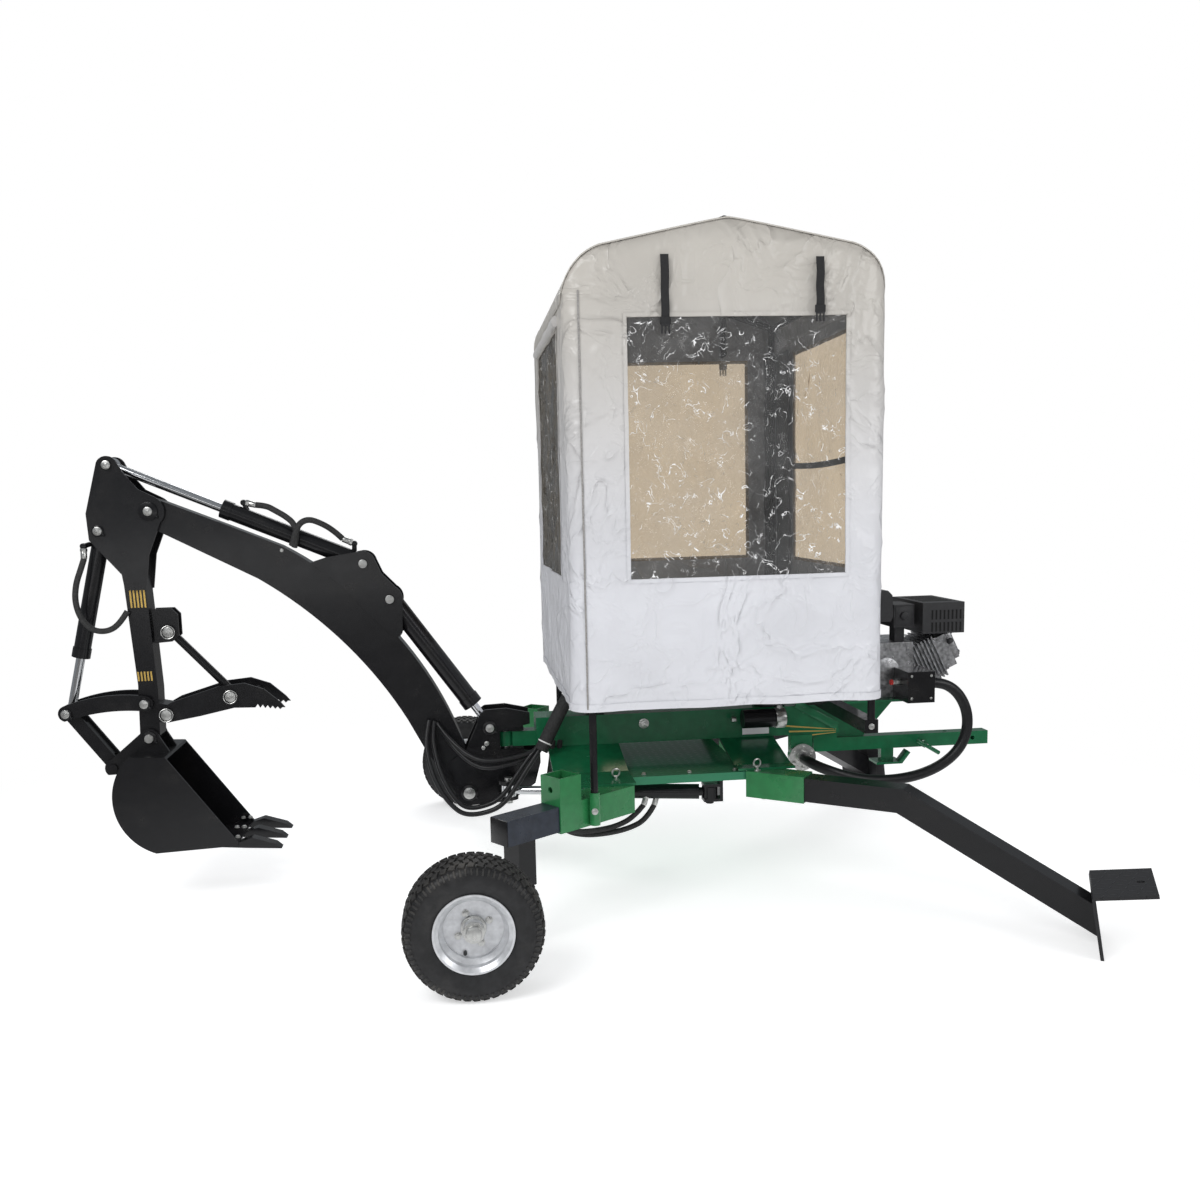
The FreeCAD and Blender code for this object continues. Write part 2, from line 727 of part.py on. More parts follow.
def drawbar():
    start = bar_start
    length = bar_end - bar_start
    side = size["bar_side"]
    tube = square_tube(start, length, side, size["bar_wall"], size["bar_low"] + side)
    stand = block(beam_end + size["stand_x"] - 24, 0, size["bar_low"] - 50, 48, 30, 50)
    base = block(beam_end + size["stand_x"] - 50, 0, size["bar_low"] - 58, 100, 80, 8)
    holes = [rod("z", bar_end - away, 0, size["bar_low"], size["bar_hole"], side)
             for away in (60, 160)]
    cross = rod("y", bar_end - 60, -side, size["bar_low"] + side / 2,
                size["bar_hole"], side * 2)
    # Block that joins the tube to the underside of the beam
    bar_top = size["bar_low"] + side
    shim = block(start, 0, bar_top, beam_end - start, side, size["beam_low"] - bar_top)
    return node("drawbar", cut(fuse(tube, stand, base, shim), *holes, cross))


def deck():
    """Foot plates each side of the beam, their outer edges folded down."""
    top = size["deck_top"]
    thick = size["deck_thick"]
    whole = plate("end", [
        (-size["deck_half"], top - size["deck_fold"]),
        (-size["deck_half"] + thick, top - size["deck_fold"]),
        (-size["deck_half"] + thick, top - thick),
        (size["deck_half"] - thick, top - thick),
        (size["deck_half"] - thick, top - size["deck_fold"]),
        (size["deck_half"], top - size["deck_fold"]),
        (size["deck_half"], top),
        (-size["deck_half"], top),
    ], sx + size["deck_start"], size["deck_length"])
    return node("platform", whole)


def stub_pins(place_xz, radius=size["pin_radius"], inside=eye_half + 2, outside=cheek_out + 8):
    """Pin ends each side of an eye that is free to leave its pin's axis."""
    near = rod("y", *place_xz[:1], inside, place_xz[1], radius, outside - inside)
    return gather(near, mirrored(near))


def swing_frame():
    """Two side plates round the kingpin, joined by plates above and below the nose."""
    king = sx
    side_piece = [
        off(foot_pin, -14, -48),
        off(foot_pin, 151, -38),
        off(foot_pin, 241, 24),
        off(foot_pin, 262, 100),
        off(foot_pin, 262, 142),
        (king - 22, king_low_plate + size["swing_plate"]),
        (king - 22, king_top_plate),
        off(foot_pin, 227, 245),
        off(foot_pin, 227, 286),
        off(foot_pin, 142, 305),
        off(lift_low, -14, 66, 52),
        off(lift_low, -44, 18),
        off(foot_pin, -6, 160),
        off(foot_pin, -60, 120),
        off(foot_pin, -50, 0, 52),
    ]
    sides = both_sides(side_piece, cheek_in, size["ear_plate"],
                       [(*foot_pin, foot_bore), (*lift_low, bore)])
    king_bore = size["king_radius"] + size["pin_fit"]
    plates = [block(king - 24, 0, low, 89, cheek_in * 2, size["swing_plate"])
              for low in (king_top_plate, king_low_plate)]
    lever_thick = size["swing_plate"]
    stub = lever_thick * 2
    eye_clear = eye_half + 2
    lever_y = -size["swing_lever"]
    levers = [plate("top", [
        (king - 30, -cheek_out),
        (king - 34, lever_y, 37),
        (king + 34, lever_y),
        (king + 30, -cheek_out),
    ], low, lever_thick, [(king, lever_y, bore)])
        for low in (size["swing_pin_z"] + eye_clear, size["swing_pin_z"] - eye_clear - lever_thick)]
    room = rod("z", king, 0, king_low_plate, king_bore, king_top_plate)
    node("swing_frame", fuse(*sides, *levers, cut(fuse(*plates), room)))
    kingpin = rod("z", king, 0, king_low_plate, size["king_radius"],
                  king_top_plate + size["swing_plate"] + 3 - king_low_plate)
    stubs = [rod("z", king, lever_y, low, size["pin_radius"], stub)
             for low in (size["swing_pin_z"] + eye_clear, size["swing_pin_z"] - eye_clear - stub)]
    return node("swing_pins", gather(
        kingpin,
        pin(*foot_pin, size["foot_pin_radius"], cheek_out + 10),
        stub_pins(lift_low),
        *stubs))


def boom():
    """Curved box boom between its ear plates."""
    back = [
        off(foot_pin, 50, 6),
        off(foot_pin, -3, 149, 1350),
        off(foot_pin, -620, 912),
        off(foot_pin, -812, 994),
        off(arm_pivot, 20, 44, 50),
        off(arm_pivot, -14, -48),
        off(foot_pin, -703, 800, -1500),
        off(foot_pin, -209, 276),
        off(foot_pin, -157, 175),
        off(foot_pin, -50, 0, 50.4),
    ]
    whole = plate("side", back, -boom_half, size["boom_wide"],
                  [(*foot_pin, foot_bore), (*arm_pivot, bore)])
    ear = [
        off(foot_pin, -422, 770),
        off(foot_pin, -321, 655),
        off(foot_pin, -245, 580, 22),
        off(foot_pin, -213, 600),
        off(lift_top, 44, -8, 48),
        off(lift_top, 22, 42),
        off(crowd_base, 62, -36),
        off(crowd_base, 42, 10, 44),
        off(crowd_base, -10, 43),
        off(foot_pin, -462, 868),
        off(foot_pin, -521, 850),
    ]
    ears = both_sides(ear, boom_half, size["ear_plate"],
                      [(*lift_top, bore), (*crowd_base, bore)])
    room = plate("side", [
        off(crowd_base, -66, -80),
        off(lift_top, -58, -50),
        off(lift_top, 40, -120),
        off(lift_top, 150, 20),
        off(crowd_base, 60, 90),
        off(crowd_base, -80, 60),
    ], -eye_half - 6, size["eye_wide"] + 12)
    return node("boom", cut(fuse(whole, *ears), room))


# Start of the bore in every barrel, from its base pin
room_start = 60


def ram(name, base, far, radius, half=eye_half):
    """Cylinder from its base pin to the far pin: a barrel with its eye, and a rod with its eye."""
    span = distance(base, far)
    barrel_length = size[name + "_barrel"]
    inner = size[name + "_close"] + room_start + 10
    eye = pin(*base, size["eye_radius"], half)
    tube = bar_between(base, far, radius, size["eye_radius"] * 0.7,
                       barrel_length - size["eye_radius"] * 0.7)
    gland = bar_between(base, far, radius + 3, barrel_length - 34, 34)
    room = bar_between(base, far, size["rod_radius"] + size["rod_fit"], room_start, span)
    hole = pin(*base, bore, half * 2)
    node(name + "_barrel", cut(fuse(eye, tube, gland), room, hole))
    bar = bar_between(base, far, size["rod_radius"], inner, span - inner)
    rod_eye = pin(*far, size["eye_radius"], half)
    node(name + "_rod", cut(fuse(bar, rod_eye), pin(*far, bore, half * 2)))


def boom_pins():
    return node("boom_pins", gather(
        pin(*arm_pivot, size["pin_radius"], cheek_out + 8),
        pin(*lift_top, size["pin_radius"], ear_out + 8),
        pin(*crowd_base, size["pin_radius"], ear_out + 8)))


def arm():
    """Two cheeks that take the boom's end, with the arm tube below them."""
    cheek = [
        off(arm_pivot, -97, -221),
        off(arm_pivot, -91, -268),
        off(arm_pivot, -26, -268),
        off(arm_pivot, -9, -148),
        off(arm_pivot, 36, -40, 54),
        off(arm_pivot, 24, 48),
        off(arm_pivot, -30, 76),
        off(arm_pivot, -71, 128),
        off(arm_top, 34, 4, 36),
        off(arm_top, -34, 8),
        off(curl_base, -36, 60),
        off(curl_base, -32, -30),
    ]
    cheeks = both_sides(cheek, cheek_in, size["ear_plate"],
                        [(*arm_pivot, bore), (*arm_top, bore), (*curl_base, bore)])
    tube = plate("side", [
        off(bucket_pin, -34, 8, 36),
        off(bucket_pin, 34, 8),
        off(bucket_pin, 38, 170),
        off(arm_pivot, -30, -250),
        off(arm_pivot, -36, -108),
        off(arm_pivot, -120, -108),
        off(arm_pivot, -102, -250),
        off(bucket_pin, -28, 190),
    ], -cheek_in, cheek_in * 2, [(*bucket_pin, bore), (*guide_pin, bore)])
    bracket = plate("side", [
        off(strut_pin, -50, -38),
        off(strut_pin, 10, -34),
        off(strut_pin, 34, -14),
        off(strut_pin, 34, 60),
        off(strut_pin, 14, 82),
        off(strut_pin, -50, 82),
    ], size_of(17), 10, [(*strut_pin, bore)])
    lug = plate("side", [
        off(thumb_pin, -50, -30),
        off(thumb_pin, -2, -30, 31),
        off(thumb_pin, -2, 30),
        off(thumb_pin, -50, 40),
    ], -cheek_in, cheek_in * 2, [(*thumb_pin, bore)])
    return node("arm", fuse(*cheeks, tube, bracket, mirrored(bracket), lug))


def arm_pins():
    return node("arm_pins", gather(
        pin(*curl_base, size["pin_radius"], cheek_out + 8),
        stub_pins(arm_top),
        pin(*guide_pin, size["pin_radius"], cheek_in + size["link_plate"] + 14),
        pin(*bucket_pin, size["pin_radius"], cheek_in + size["link_plate"] + 14),
        pin(*thumb_pin, size["pin_radius"], size["jaw_gap"] / 2 + size["jaw_plate"] + 8),
        pin(*strut_pin, size["pin_radius"], 35),
        pin(*jaw_pin, size["pin_radius"], size["jaw_gap"] / 2 + size["jaw_plate"] + 8)))


def thumb():
    """Pair of serrated jaw plates held by a pinned strut."""
    teeth = []
    count = 6
    for number in range(count):
        along = 372 + number * 17
        teeth.append(off(bucket_pin, along, 96 - number * 2))
        teeth.append(off(bucket_pin, along + 9, 108 - number * 3))
    jaw = [
        off(thumb_pin, 2, -28),
        off(bucket_pin, 183, 74),
        off(bucket_pin, 300, 98),
        *teeth,
        off(bucket_pin, 474, 92),
        off(bucket_pin, 458, 112),
        off(bucket_pin, 405, 160),
        off(bucket_pin, 338, 184),
        off(bucket_pin, 252, 176),
        off(thumb_pin, 20, 44),
        off(thumb_pin, -14, 26, 30),
    ]
    jaws = both_sides(jaw, size["jaw_gap"] / 2, size["jaw_plate"],
                      [(*thumb_pin, bore), (*jaw_pin, bore)])
    spacer = pin(bucket_pin[0] + 365, bucket_pin[1] + 146, 12, size["jaw_gap"] / 2)
    bar = bar_between(strut_pin, jaw_pin, 14, 20, distance(strut_pin, jaw_pin) - 40)
    ends = [pin(*place_xz, 24, 16) for place_xz in (strut_pin, jaw_pin)]
    holes = [pin(*place_xz, bore, 20) for place_xz in (strut_pin, jaw_pin)]
    return node("thumb", gather(fuse(*jaws, spacer), cut(fuse(bar, *ends), *holes)))


link_in = eye_half + 4
guide_in = cheek_in + 4


def links():
    """Curved guide links outside the arm, and the boxed link down to the bucket's tail."""
    guide = [
        off(guide_pin, 8, -27, 28),
        off(guide_pin, 8, 27, 560),
        off(link_pin, -6, 27, 28),
        off(link_pin, -6, -27, -640),
    ]
    sides = both_sides(guide, guide_in, size["link_plate"], [(*guide_pin, bore)])
    stubs = stub_pins(link_pin, size["pin_radius"], eye_half + 2,
                      guide_in + size["link_plate"] + 8)
    node("guide_links", fuse(*sides, stubs))
    across = distance(link_pin, tail_pin)
    plates = [slab_between(link_pin, tail_pin, 44, link_in, 10)]
    plates.append(mirrored(plates[0]))
    rounds = []
    for place_xz in (link_pin, tail_pin):
        near = rod("y", place_xz[0], link_in, place_xz[1], 25, 10)
        rounds += [near, mirrored(near)]
    web_start = along_line(link_pin, tail_pin, 62)
    web_end = along_line(link_pin, tail_pin, across - 40)
    web = slab_between(web_start, web_end, 30, -link_in, link_in * 2)
    holes = [pin(*link_pin, bore, 60), pin(*tail_pin, bore, 60)]
    return node("bucket_link", cut(fuse(*plates, *rounds, web), *holes))


def along_line(start, end, by):
    span = distance(start, end)
    by = size_of(by)
    return (start[0] + (end[0] - start[0]) / span * by,
            start[1] + (end[1] - start[1]) / span * by)


def bucket():
    """Digging bucket: rolled back, flat cutting edge, and ears for its two pins."""
    wall = size["bucket_wall"]
    wide = size["bucket_wide"]
    outer = plate("side", [
        off(bucket_pin, 20, -388),
        off(bucket_pin, 297, -376),
        off(bucket_pin, 300, -366),
        off(bucket_pin, 71, -50),
        off(bucket_pin, -50, -45, 207),
    ], -wide / 2, wide)
    inner = plate("side", [
        (bucket_pin[0] + 22, bucket_pin[1] - 388 + wall),
        (bucket_pin[0] + 340, bucket_pin[1] - 374 + wall),
        (bucket_pin[0] + 150, bucket_pin[1] - 52 - wall),
        (bucket_pin[0] - 44, bucket_pin[1] - 46 - wall, size_of(207) - wall),
    ], -wide / 2 + wall, wide - wall * 2)
    ear_in = cheek_in + size["side_gap"]
    ear = [
        off(tail_pin, -20, -24),
        off(bucket_pin, 0, -120),
        off(bucket_pin, 66, -52),
        off(bucket_pin, 34, 4, 35),
        off(bucket_pin, -28, 20),
        off(tail_pin, -8, 30, 32),
    ]
    ears = both_sides(ear, ear_in, size["ear_plate"], [(*bucket_pin, bore), (*tail_pin, bore)])
    stubs = stub_pins(tail_pin, size["pin_radius"], link_in + 12, ear_in + size["ear_plate"] + 8)
    node("bucket", gather(cut(fuse(outer, *ears), inner), stubs))
    tooth = [
        off(bucket_pin, 236, -380),
        off(bucket_pin, 330, -388),
        off(bucket_pin, 445, -396),
        off(bucket_pin, 425, -378),
        off(bucket_pin, 345, -352),
        off(bucket_pin, 300, -366),
        off(bucket_pin, 297, -376),
    ]
    width = 42
    row = [plate("side", tooth, size["tooth_pitch"] * step - width / 2, width)
           for step in (-1, 0, 1)]
    return node("bucket_teeth", gather(*row))


def rams():
    ram("lift", lift_top, lift_low, size["lift_ram"])
    ram("crowd", crowd_base, arm_top, size["ram_radius"])
    ram("curl", curl_base, link_pin, size["ram_radius"] - 2)


swing_base = (sx + size["swing_base_x"], -size["swing_base_y"])
swing_eye = (sx, -size["swing_lever"])


def swing_ram():
    """The swing cylinder lies flat under the platform, so it is made along X and turned."""
    span = distance(swing_base, swing_eye)
    away = swing_eye[0] - swing_base[0]
    side = swing_eye[1] - swing_base[1]
    angle = Size(f"atan2({side.text}; {away.text})",
                 math.degrees(math.atan2(side.value, away.value)))
    radius = size["swing_ram"]
    height = size["swing_pin_z"]
    eye = rod("z", 0, 0, height - eye_half, size["eye_radius"], size["eye_wide"])
    neck = rod("x", 10, 0, height, size["rod_radius"], 60)
    tube = rod("x", 36, 0, height, radius, size["swing_barrel"] - 36)
    gland = rod("x", size["swing_barrel"] - 34, 0, height, radius + 3, 34)
    room = rod("x", room_start, 0, height, size["rod_radius"] + size["rod_fit"], span)
    hole = rod("z", 0, 0, height - eye_half, bore, size["eye_wide"])
    barrel = cut(fuse(eye, neck, tube, gland), room, hole)
    node("swing_barrel", place(barrel, *swing_base, 0, ((0, 0, 1), angle)))
    inner = size["swing_close"] + room_start + 10
    bar = rod("x", inner, 0, height, size["rod_radius"], span - inner)
    rod_eye = rod("z", span, 0, height - eye_half, size["eye_radius"], size["eye_wide"])
    rod_hole = rod("z", span, 0, height - eye_half, bore, size["eye_wide"])
    node("swing_rod", place(cut(fuse(bar, rod_eye), rod_hole), *swing_base, 0,
                            ((0, 0, 1), angle)))
    # Bracket that carries the base pin below the platform
    top = size["deck_top"] - size["deck_thick"]
    plates = [block(swing_base[0] - 24, swing_base[1], low, 66, 46, 10)
              for low in (height + eye_half + 1, height - eye_half - 11)]
    back = block(swing_base[0] + 32, swing_base[1], height - eye_half - 11, 10, 46,
                 top - (height - eye_half - 11))
    pin_piece = rod("z", *swing_base, height - eye_half - 20, size["pin_radius"],
                    eye_half * 2 + 32)
    bracket = cut(fuse(*plates, back), rod("z", *swing_base, 0, bore, top))
    return node("swing_bracket", gather(bracket, pin_piece))


def wheel(name, side):
    """Wheel on its stub axle: pressed steel rim with its hub, and a low turf tyre."""
    y = size["track_half"] * side
    half = size["rim_wide"] / 2
    flange = size["rim_radius"]
    bead = size["bead_radius"]
    hub = size["hub_radius"]
    hole = size["axle_radius"] + size["pin_fit"]
    turn = -side
    rim = [
        (flange, -half), (flange, -half + 5), (bead + 3, -half + 8), (bead, -half + 30),
        (bead - 13, -half + 44), (bead - 13, half - 44), (bead, half - 30),
        (bead + 3, half - 8), (flange, half - 5), (flange, half), (flange - 6, half),
        (bead - 4, half - 10), (bead - 5, half - 27), (bead - 17, half - 41),
        (bead - 17, -half + 58), (hub, -half + 62), (hub, half - 25), (hole, half - 25),
        (hole, -half + 20), (hub, -half + 20), (hub, -half + 56), (bead - 17, -half + 52),
        (bead - 17, -half + 41), (bead - 5, -half + 27), (bead - 4, -half + 10),
        (flange - 6, -half),
    ]
    tread = size["tyre_radius"]
    wide = size["tyre_wide"] / 2
    tyre = [
        (bead + 0.5, -half + 31), (bead + 3.8, -half + 9), (flange + 0.5, -half + 6),
        (flange + 1.5, -half - 3), (flange + 16, -wide + 2, 60), (tread - 14, -wide + 8, 26),
        (tread, -wide + 26), (tread, wide - 26, 26), (tread - 14, wide - 8, 60),
        (flange + 16, wide - 2), (flange + 1.5, half + 3), (flange + 0.5, half - 6),
        (bead + 3.8, half - 9), (bead + 0.5, half - 31),
    ]
    node("rim_" + name, spun(rim if turn > 0 else mirror_profile(rim), "y",
                             axle_x, y, axle_z))
    return node("tyre_" + name, spun(tyre, "y", axle_x, y, axle_z))


def mirror_profile(profile):
    """The profile with its two sides exchanged, walked so that it still turns the same way."""
    return [(r, -size_of(along)) for r, along in reversed(profile)]


cabin_mid = (cabin_x + cabin_end) / 2
cloth = size["canvas"]
shoulder = size["cabin_round"] * 1.5


def cabin_outline(inset, low):
    """End view of the cabin: upright walls, round shoulders and a low gable."""
    inset = size_of(inset)
    eave = cabin_eave
    turn = shoulder - inset
    return [
        (cabin_x + inset, low),
        (cabin_end - inset, low),
        (cabin_end - inset, eave - shoulder, turn),
        (cabin_end - shoulder * 0.7 - inset * 0.3, eave - shoulder * 0.05 - inset * 0.95),
        (cabin_mid, size["cabin_ridge"] - inset * 1.05),
        (cabin_x + shoulder * 0.7 + inset * 0.3, eave - shoulder * 0.05 - inset * 0.95, turn),
        (cabin_x + inset, eave - shoulder),
    ]


def side_window(y_low, thick):
    return box(cabin_x + size["window_start"], y_low, window_low, size["window_length"],
               thick, size["window_tall"])


def plan_outline(inset):
    """The cabin from above, its corners round, drawn in by an inset."""
    half = size["cabin_half"] - inset
    turn = size["cabin_round"] - inset
    low_x, high_x = cabin_x + inset, cabin_end - inset
    return [
        (low_x + turn, -half), (high_x - turn, -half, turn),
        (high_x, -half + turn), (high_x, half - turn, turn),
        (high_x - turn, half), (low_x + turn, half, turn),
        (low_x, half - turn), (low_x, -half + turn, turn),
    ]


def canvas_cabin():
    """Canvas walls and roof; the end walls turn round the upright corners."""
    half = size["cabin_half"]
    turn = size["cabin_round"]
    low = size["cabin_low"]
    wall_top = cabin_eave - shoulder
    side = plate("side", cabin_outline(cloth, low), -half, cloth)
    trim = block(cabin_x + turn, 0, low, size["cabin_length"] - turn * 2, half * 2 + 2,
                 size["cabin_ridge"])
    both = new("Part::Common", "Panel")
    both.Base = side
    both.Tool = trim
    near = cut(both, side_window(-half, cloth))
    node("canvas_near", near)
    node("canvas_far", mirrored(near))
    for name, start, way in (("canvas_boom_end", cabin_x, 1), ("canvas_drawbar_end",
                                                              cabin_end, -1)):
        inner_turn = turn - cloth
        outline = [
            (start + turn * way, -half),
            (start + turn * way, -half + cloth, inner_turn * -way),
            (start + cloth * way, -half + turn),
            (start + cloth * way, half - turn, inner_turn * -way),
            (start + turn * way, half - cloth),
            (start + turn * way, half, turn * way),
            (start, half - turn),
            (start, -half + turn, turn * way),
        ]
        wall = plate("top", outline, low, wall_top - low)
        x_low = start if way > 0 else start - cloth
        opening = block(x_low, 0, window_low, cloth, size["end_window_half"] * 2,
                        size["window_tall"])
        node(name, cut(wall, opening))
    outer = plate("side", cabin_outline(0, low), -half, half * 2)
    inner = plate("side", cabin_outline(cloth, low), -half - 1, half * 2 + 2)
    plan = plate("top", plan_outline(0), wall_top, size["cabin_ridge"] - wall_top)
    roof = new("Part::Common", "Roof")
    roof.Base = cut(outer, inner)
    roof.Tool = plan
    # The round corners of the end walls carry on up to the roof
    room = plate("top", plan_outline(cloth), wall_top, size["cabin_ridge"] - wall_top)
    ring = cut(plate("top", plan_outline(0), wall_top, size["cabin_ridge"] - wall_top), room)
    posts = new("Part::Common", "Corners")
    posts.Base = cut(ring, block(cabin_x + turn, 0, low, size["cabin_length"] - turn * 2,
                                 half * 2 + 2, size["cabin_ridge"]))
    posts.Tool = plate("side", cabin_outline(cloth, low), -half, half * 2)
    node("canvas_roof", fuse(roof, posts))
    gap = (cloth - size["vinyl"]) / 2
    thin = size["vinyl"]
    near_pane = side_window(-half + gap, thin)
    tall = size["window_tall"]
    wide = size["end_window_half"] * 2
    ends = [block(x, 0, window_low, thin, wide, tall)
            for x in (cabin_x + gap, cabin_end - gap - thin)]
    return node("cabin_windows", gather(near_pane, mirrored(near_pane), *ends))


right_post = cabin_end - size["post_inset"]
right_post_y = -size["cabin_half"] + size["post_inset"]
cross_low = beam_top
cross_end = right_post + size["cross_side"] / 2


def cabin_frame():
    """Round tube frame: four posts, gable rails and three rails across."""
    radius = size["post_radius"]
    eave = cabin_eave - 50
    ridge = size["cabin_ridge"] - cloth * 1.05 - radius - 8
    left = rod("z", left_post, left_post_y, post_low, radius, eave - post_low)
    right_low = cross_low + size["cross_side"]
    right = rod("z", right_post, right_post_y, right_low, radius, eave - right_low)
    rails = []
    rafter_y = right_post_y + 10
    for foot, post_y in ((left_post, left_post_y), (right_post, right_post_y)):
        start = (foot, eave)
        end = (cabin_mid, ridge)
        rails.append(bar_between(start, end, radius, 0, distance(start, end), rafter_y))
        rails.append(rod("y", foot, post_y, eave, radius, -post_y))
    rails.append(rod("y", cabin_mid, rafter_y, ridge, radius, -rafter_y))
    half_frame = fuse(left, right, *rails)
    return node("cabin_frame", fuse(half_frame, mirrored(half_frame)))


def cross_beam():
    """Square tube across the beam that carries the rear posts, with its post clamps."""
    side = size["cross_side"]
    length = size["cabin_half"] * 2 - 60
    return node("cross_beam", block(right_post - side / 2, 0, cross_low, side, length, side))


def operator_place():
    """Seat on a post, and the valve stand with its levers ahead of it."""
    seat_x = cabin_end - 215
    post = rod("z", seat_x, 0, beam_top, 30, 210)
    pan = plate("side", [
        (seat_x - 190, beam_top + 210), (seat_x + 170, beam_top + 210),
        (seat_x + 170, beam_top + 250), (seat_x - 150, beam_top + 262),
        (seat_x - 190, beam_top + 250),
    ], -190, 380)
    back = plate("side", [
        (seat_x + 130, beam_top + 250), (seat_x + 172, beam_top + 250),
        (seat_x + 176, beam_top + 470), (seat_x + 150, beam_top + 480),
    ], -170, 340)
    node("seat", fuse(post, pan, back))
    valve_x = cabin_x + 140
    stand = block(valve_x - 30, 0, beam_top, 60, 90, 250)
    valve = block(valve_x - 45, 0, beam_top + 250, 90, 260, 70)
    levers = []
    for step in (-2, -1, 1, 2):
        levers.append(rod("z", valve_x, step * 48, beam_top + 320, 6, 120))
        levers.append(rod("z", valve_x, step * 48, beam_top + 440, 14, 34))
    return node("control_valve", fuse(stand, valve, *levers))


engine_x = cabin_end + size["engine_away"]
engine_y = size["engine_y"]
crank_z = size["mount_top"] + size["crank_up"]
case_wide = size_of(230)
guard_low = size_of(857)
cylinder_lean = size_of(25)
mount_start = cross_end + 9
mount_length = size_of(305)
suction_x = beam_end - 149
suction_z = size_of(402)


def engine():
    """Single cylinder engine: crankcase, tilted finned cylinder, guard, tank and filter."""
    top = size["mount_top"]
    thick = size["mount_thick"]
    under = top - thick
    slope_x = beam_end - size["beam_cut"]
    slope_fall = size["beam_tall"] - 30
    bar_top = size["bar_low"] + size["bar_side"]
    high = (slope_x + size["beam_cut"] * 0.9 * 0.4, beam_top - slope_fall * 0.4)
    low = (slope_x + size["beam_cut"] * 0.9, beam_top - slope_fall)
    web = plate("side", [
        high, low, (beam_end, size["beam_low"]), (beam_end, bar_top), (beam_end + 110, bar_top),
        (mount_start + mount_length - 10, under), (high[0], under),
    ], -thick / 2, thick)
    side_web = plate("side", [high, low, (beam_end + 60, under), (high[0], under)], 42, thick)
    node("engine_mount", fuse(
        block(mount_start, engine_y, under, mount_length, 330, thick),
        web, side_web, mirrored(side_web)))
    case_y = engine_y - case_wide / 2
    case = block(engine_x - 105, engine_y, top, 205, case_wide, 200)
    cowl = rod("y", engine_x - 5, engine_y + case_wide / 2, crank_z + 6, 108, 82)
    cylinder = box(0, -75, -65, 190, 150, 130)
    fins = [box(70 + 14 * step, -90, -80, 5, 180, 160) for step in range(8)]
    head = box(190, -75, -62, 34, 150, 124)
    cover = box(224, -55, -48, 26, 110, 96)
    tilted = fuse(cylinder, *fins, head, cover)
    place(tilted, engine_x + 57, engine_y, top + 68, ((0, 1, 0), -cylinder_lean))
    pipe = rod("z", engine_x + 218, 20, 800, 18, guard_low - 800)
    node("engine_block", fuse(case, cowl, tilted, pipe))
    guard_x = engine_x + 115
    guard = block(guard_x, -40, guard_low, 155, 280, 111)
    node("muffler_guard", guard)
    tank = plate("side", [
        (engine_x - 150, 905), (engine_x + 2, 905), (engine_x + 10, 925),
        (engine_x + 6, 1000), (engine_x - 10, 1016), (engine_x - 130, 1016),
        (engine_x - 150, 996),
    ], -170, 340)
    strap = block(engine_x - 100, engine_y, top + 200, 90, 120, 905 - top - 200)
    node("fuel_tank", fuse(tank, strap))
    cleaner = block(engine_x + 20, -85, 880, 76, 130, 82)
    elbow = block(engine_x + 40, -85, top + 200, 36, 50, 880 - top - 200)
    node("air_cleaner", fuse(cleaner, elbow))
    pump_x = engine_x + 26
    return node("pump", box(pump_x, case_y - 135, top, 98, 135, 111))


def tank_flange():
    """Suction housing below the beam, and its bolted flange."""
    x, z = suction_x, suction_z
    deep = 40
    housing = fuse(rod("y", x, -70, z, 42, deep),
                   block(x - 40, -50, z, 80, deep, size["beam_low"] - z))
    node("suction_housing", housing)
    return node("suction_flange", fuse(rod("y", x, -82, z, 50, 12),
                                       rod("y", x, -100, z, 24, 18)))


def oil_filter():
    x = beam_end - 380
    z = 560
    y = -size["beam_wide"] / 2 - 40
    body = rod("x", x, y, z, 34, 120)
    head = rod("x", x + 120, y, z, 36, 36)
    arm_piece = box(x + 122, y, z - 12, 30, 40, 24)
    return node("oil_filter", fuse(body, head, arm_piece))


HOSE_RUN = (
    # X from the swing axis, Y, Z
    (1509, -205, 684),
    (1560, -205, 684),
    (1620, -205, 650),
    (1659, -205, 582),
    (1664, -205, 505),
    (1634, -205, 434),
    (1572, -204, 380),
    (1490, -202, 346),
    (1400, -198, 331),
    (1305, -194, 332),
    (1222, -191, 350),
    (1162, -190, 372),
    (1115, -174, 390),
    (1091, -140, 402),
    (1091, -100, 402),
)


def hose_path(points):
    """Straight runs joined by tangent arcs, each as large as its two runs allow."""
    edges = []
    radii = []
    here = points[0]
    for i in range(1, len(points) - 1):
        before, corner, after = points[i - 1], points[i], points[i + 1]
        back = (before - corner)
        ahead = (after - corner)
        half_turn = (math.pi - back.getAngle(ahead)) / 2
        reach = 0.45 * min(back.Length, ahead.Length)
        radii.append(reach / math.tan(half_turn))
        start = corner + back.normalize() * reach
        end = corner + ahead.normalize() * reach
        bisector = (back + ahead).normalize()
        centre = corner + bisector * (radii[-1] / math.cos(half_turn))
        middle = centre - bisector * radii[-1]
        edges.append(Part.LineSegment(here, start).toShape())
        edges.append(Part.Arc(start, middle, end).toShape())
        here = end
    edges.append(Part.LineSegment(here, points[-1]).toShape())
    return Part.Wire(edges), radii


def hose(name, points, radius):
    path, radii = hose_path([Vector(*p) for p in points])
    first = path.Edges[0]
    section = Part.Wire(Part.Circle(first.valueAt(first.FirstParameter),
                                    first.tangentAt(first.FirstParameter), radius).toShape())
    tube = path.makePipeShell([section], True, True)
    thing = new("Part::Feature", "Hose")
    thing.Shape = tube
    length = path.Length
    print(name, "length", round(length), "radii", [round(r) for r in radii], "volume ratio",
          round(tube.Volume / (math.pi * radius * radius * length), 4))
    return node(name, thing)


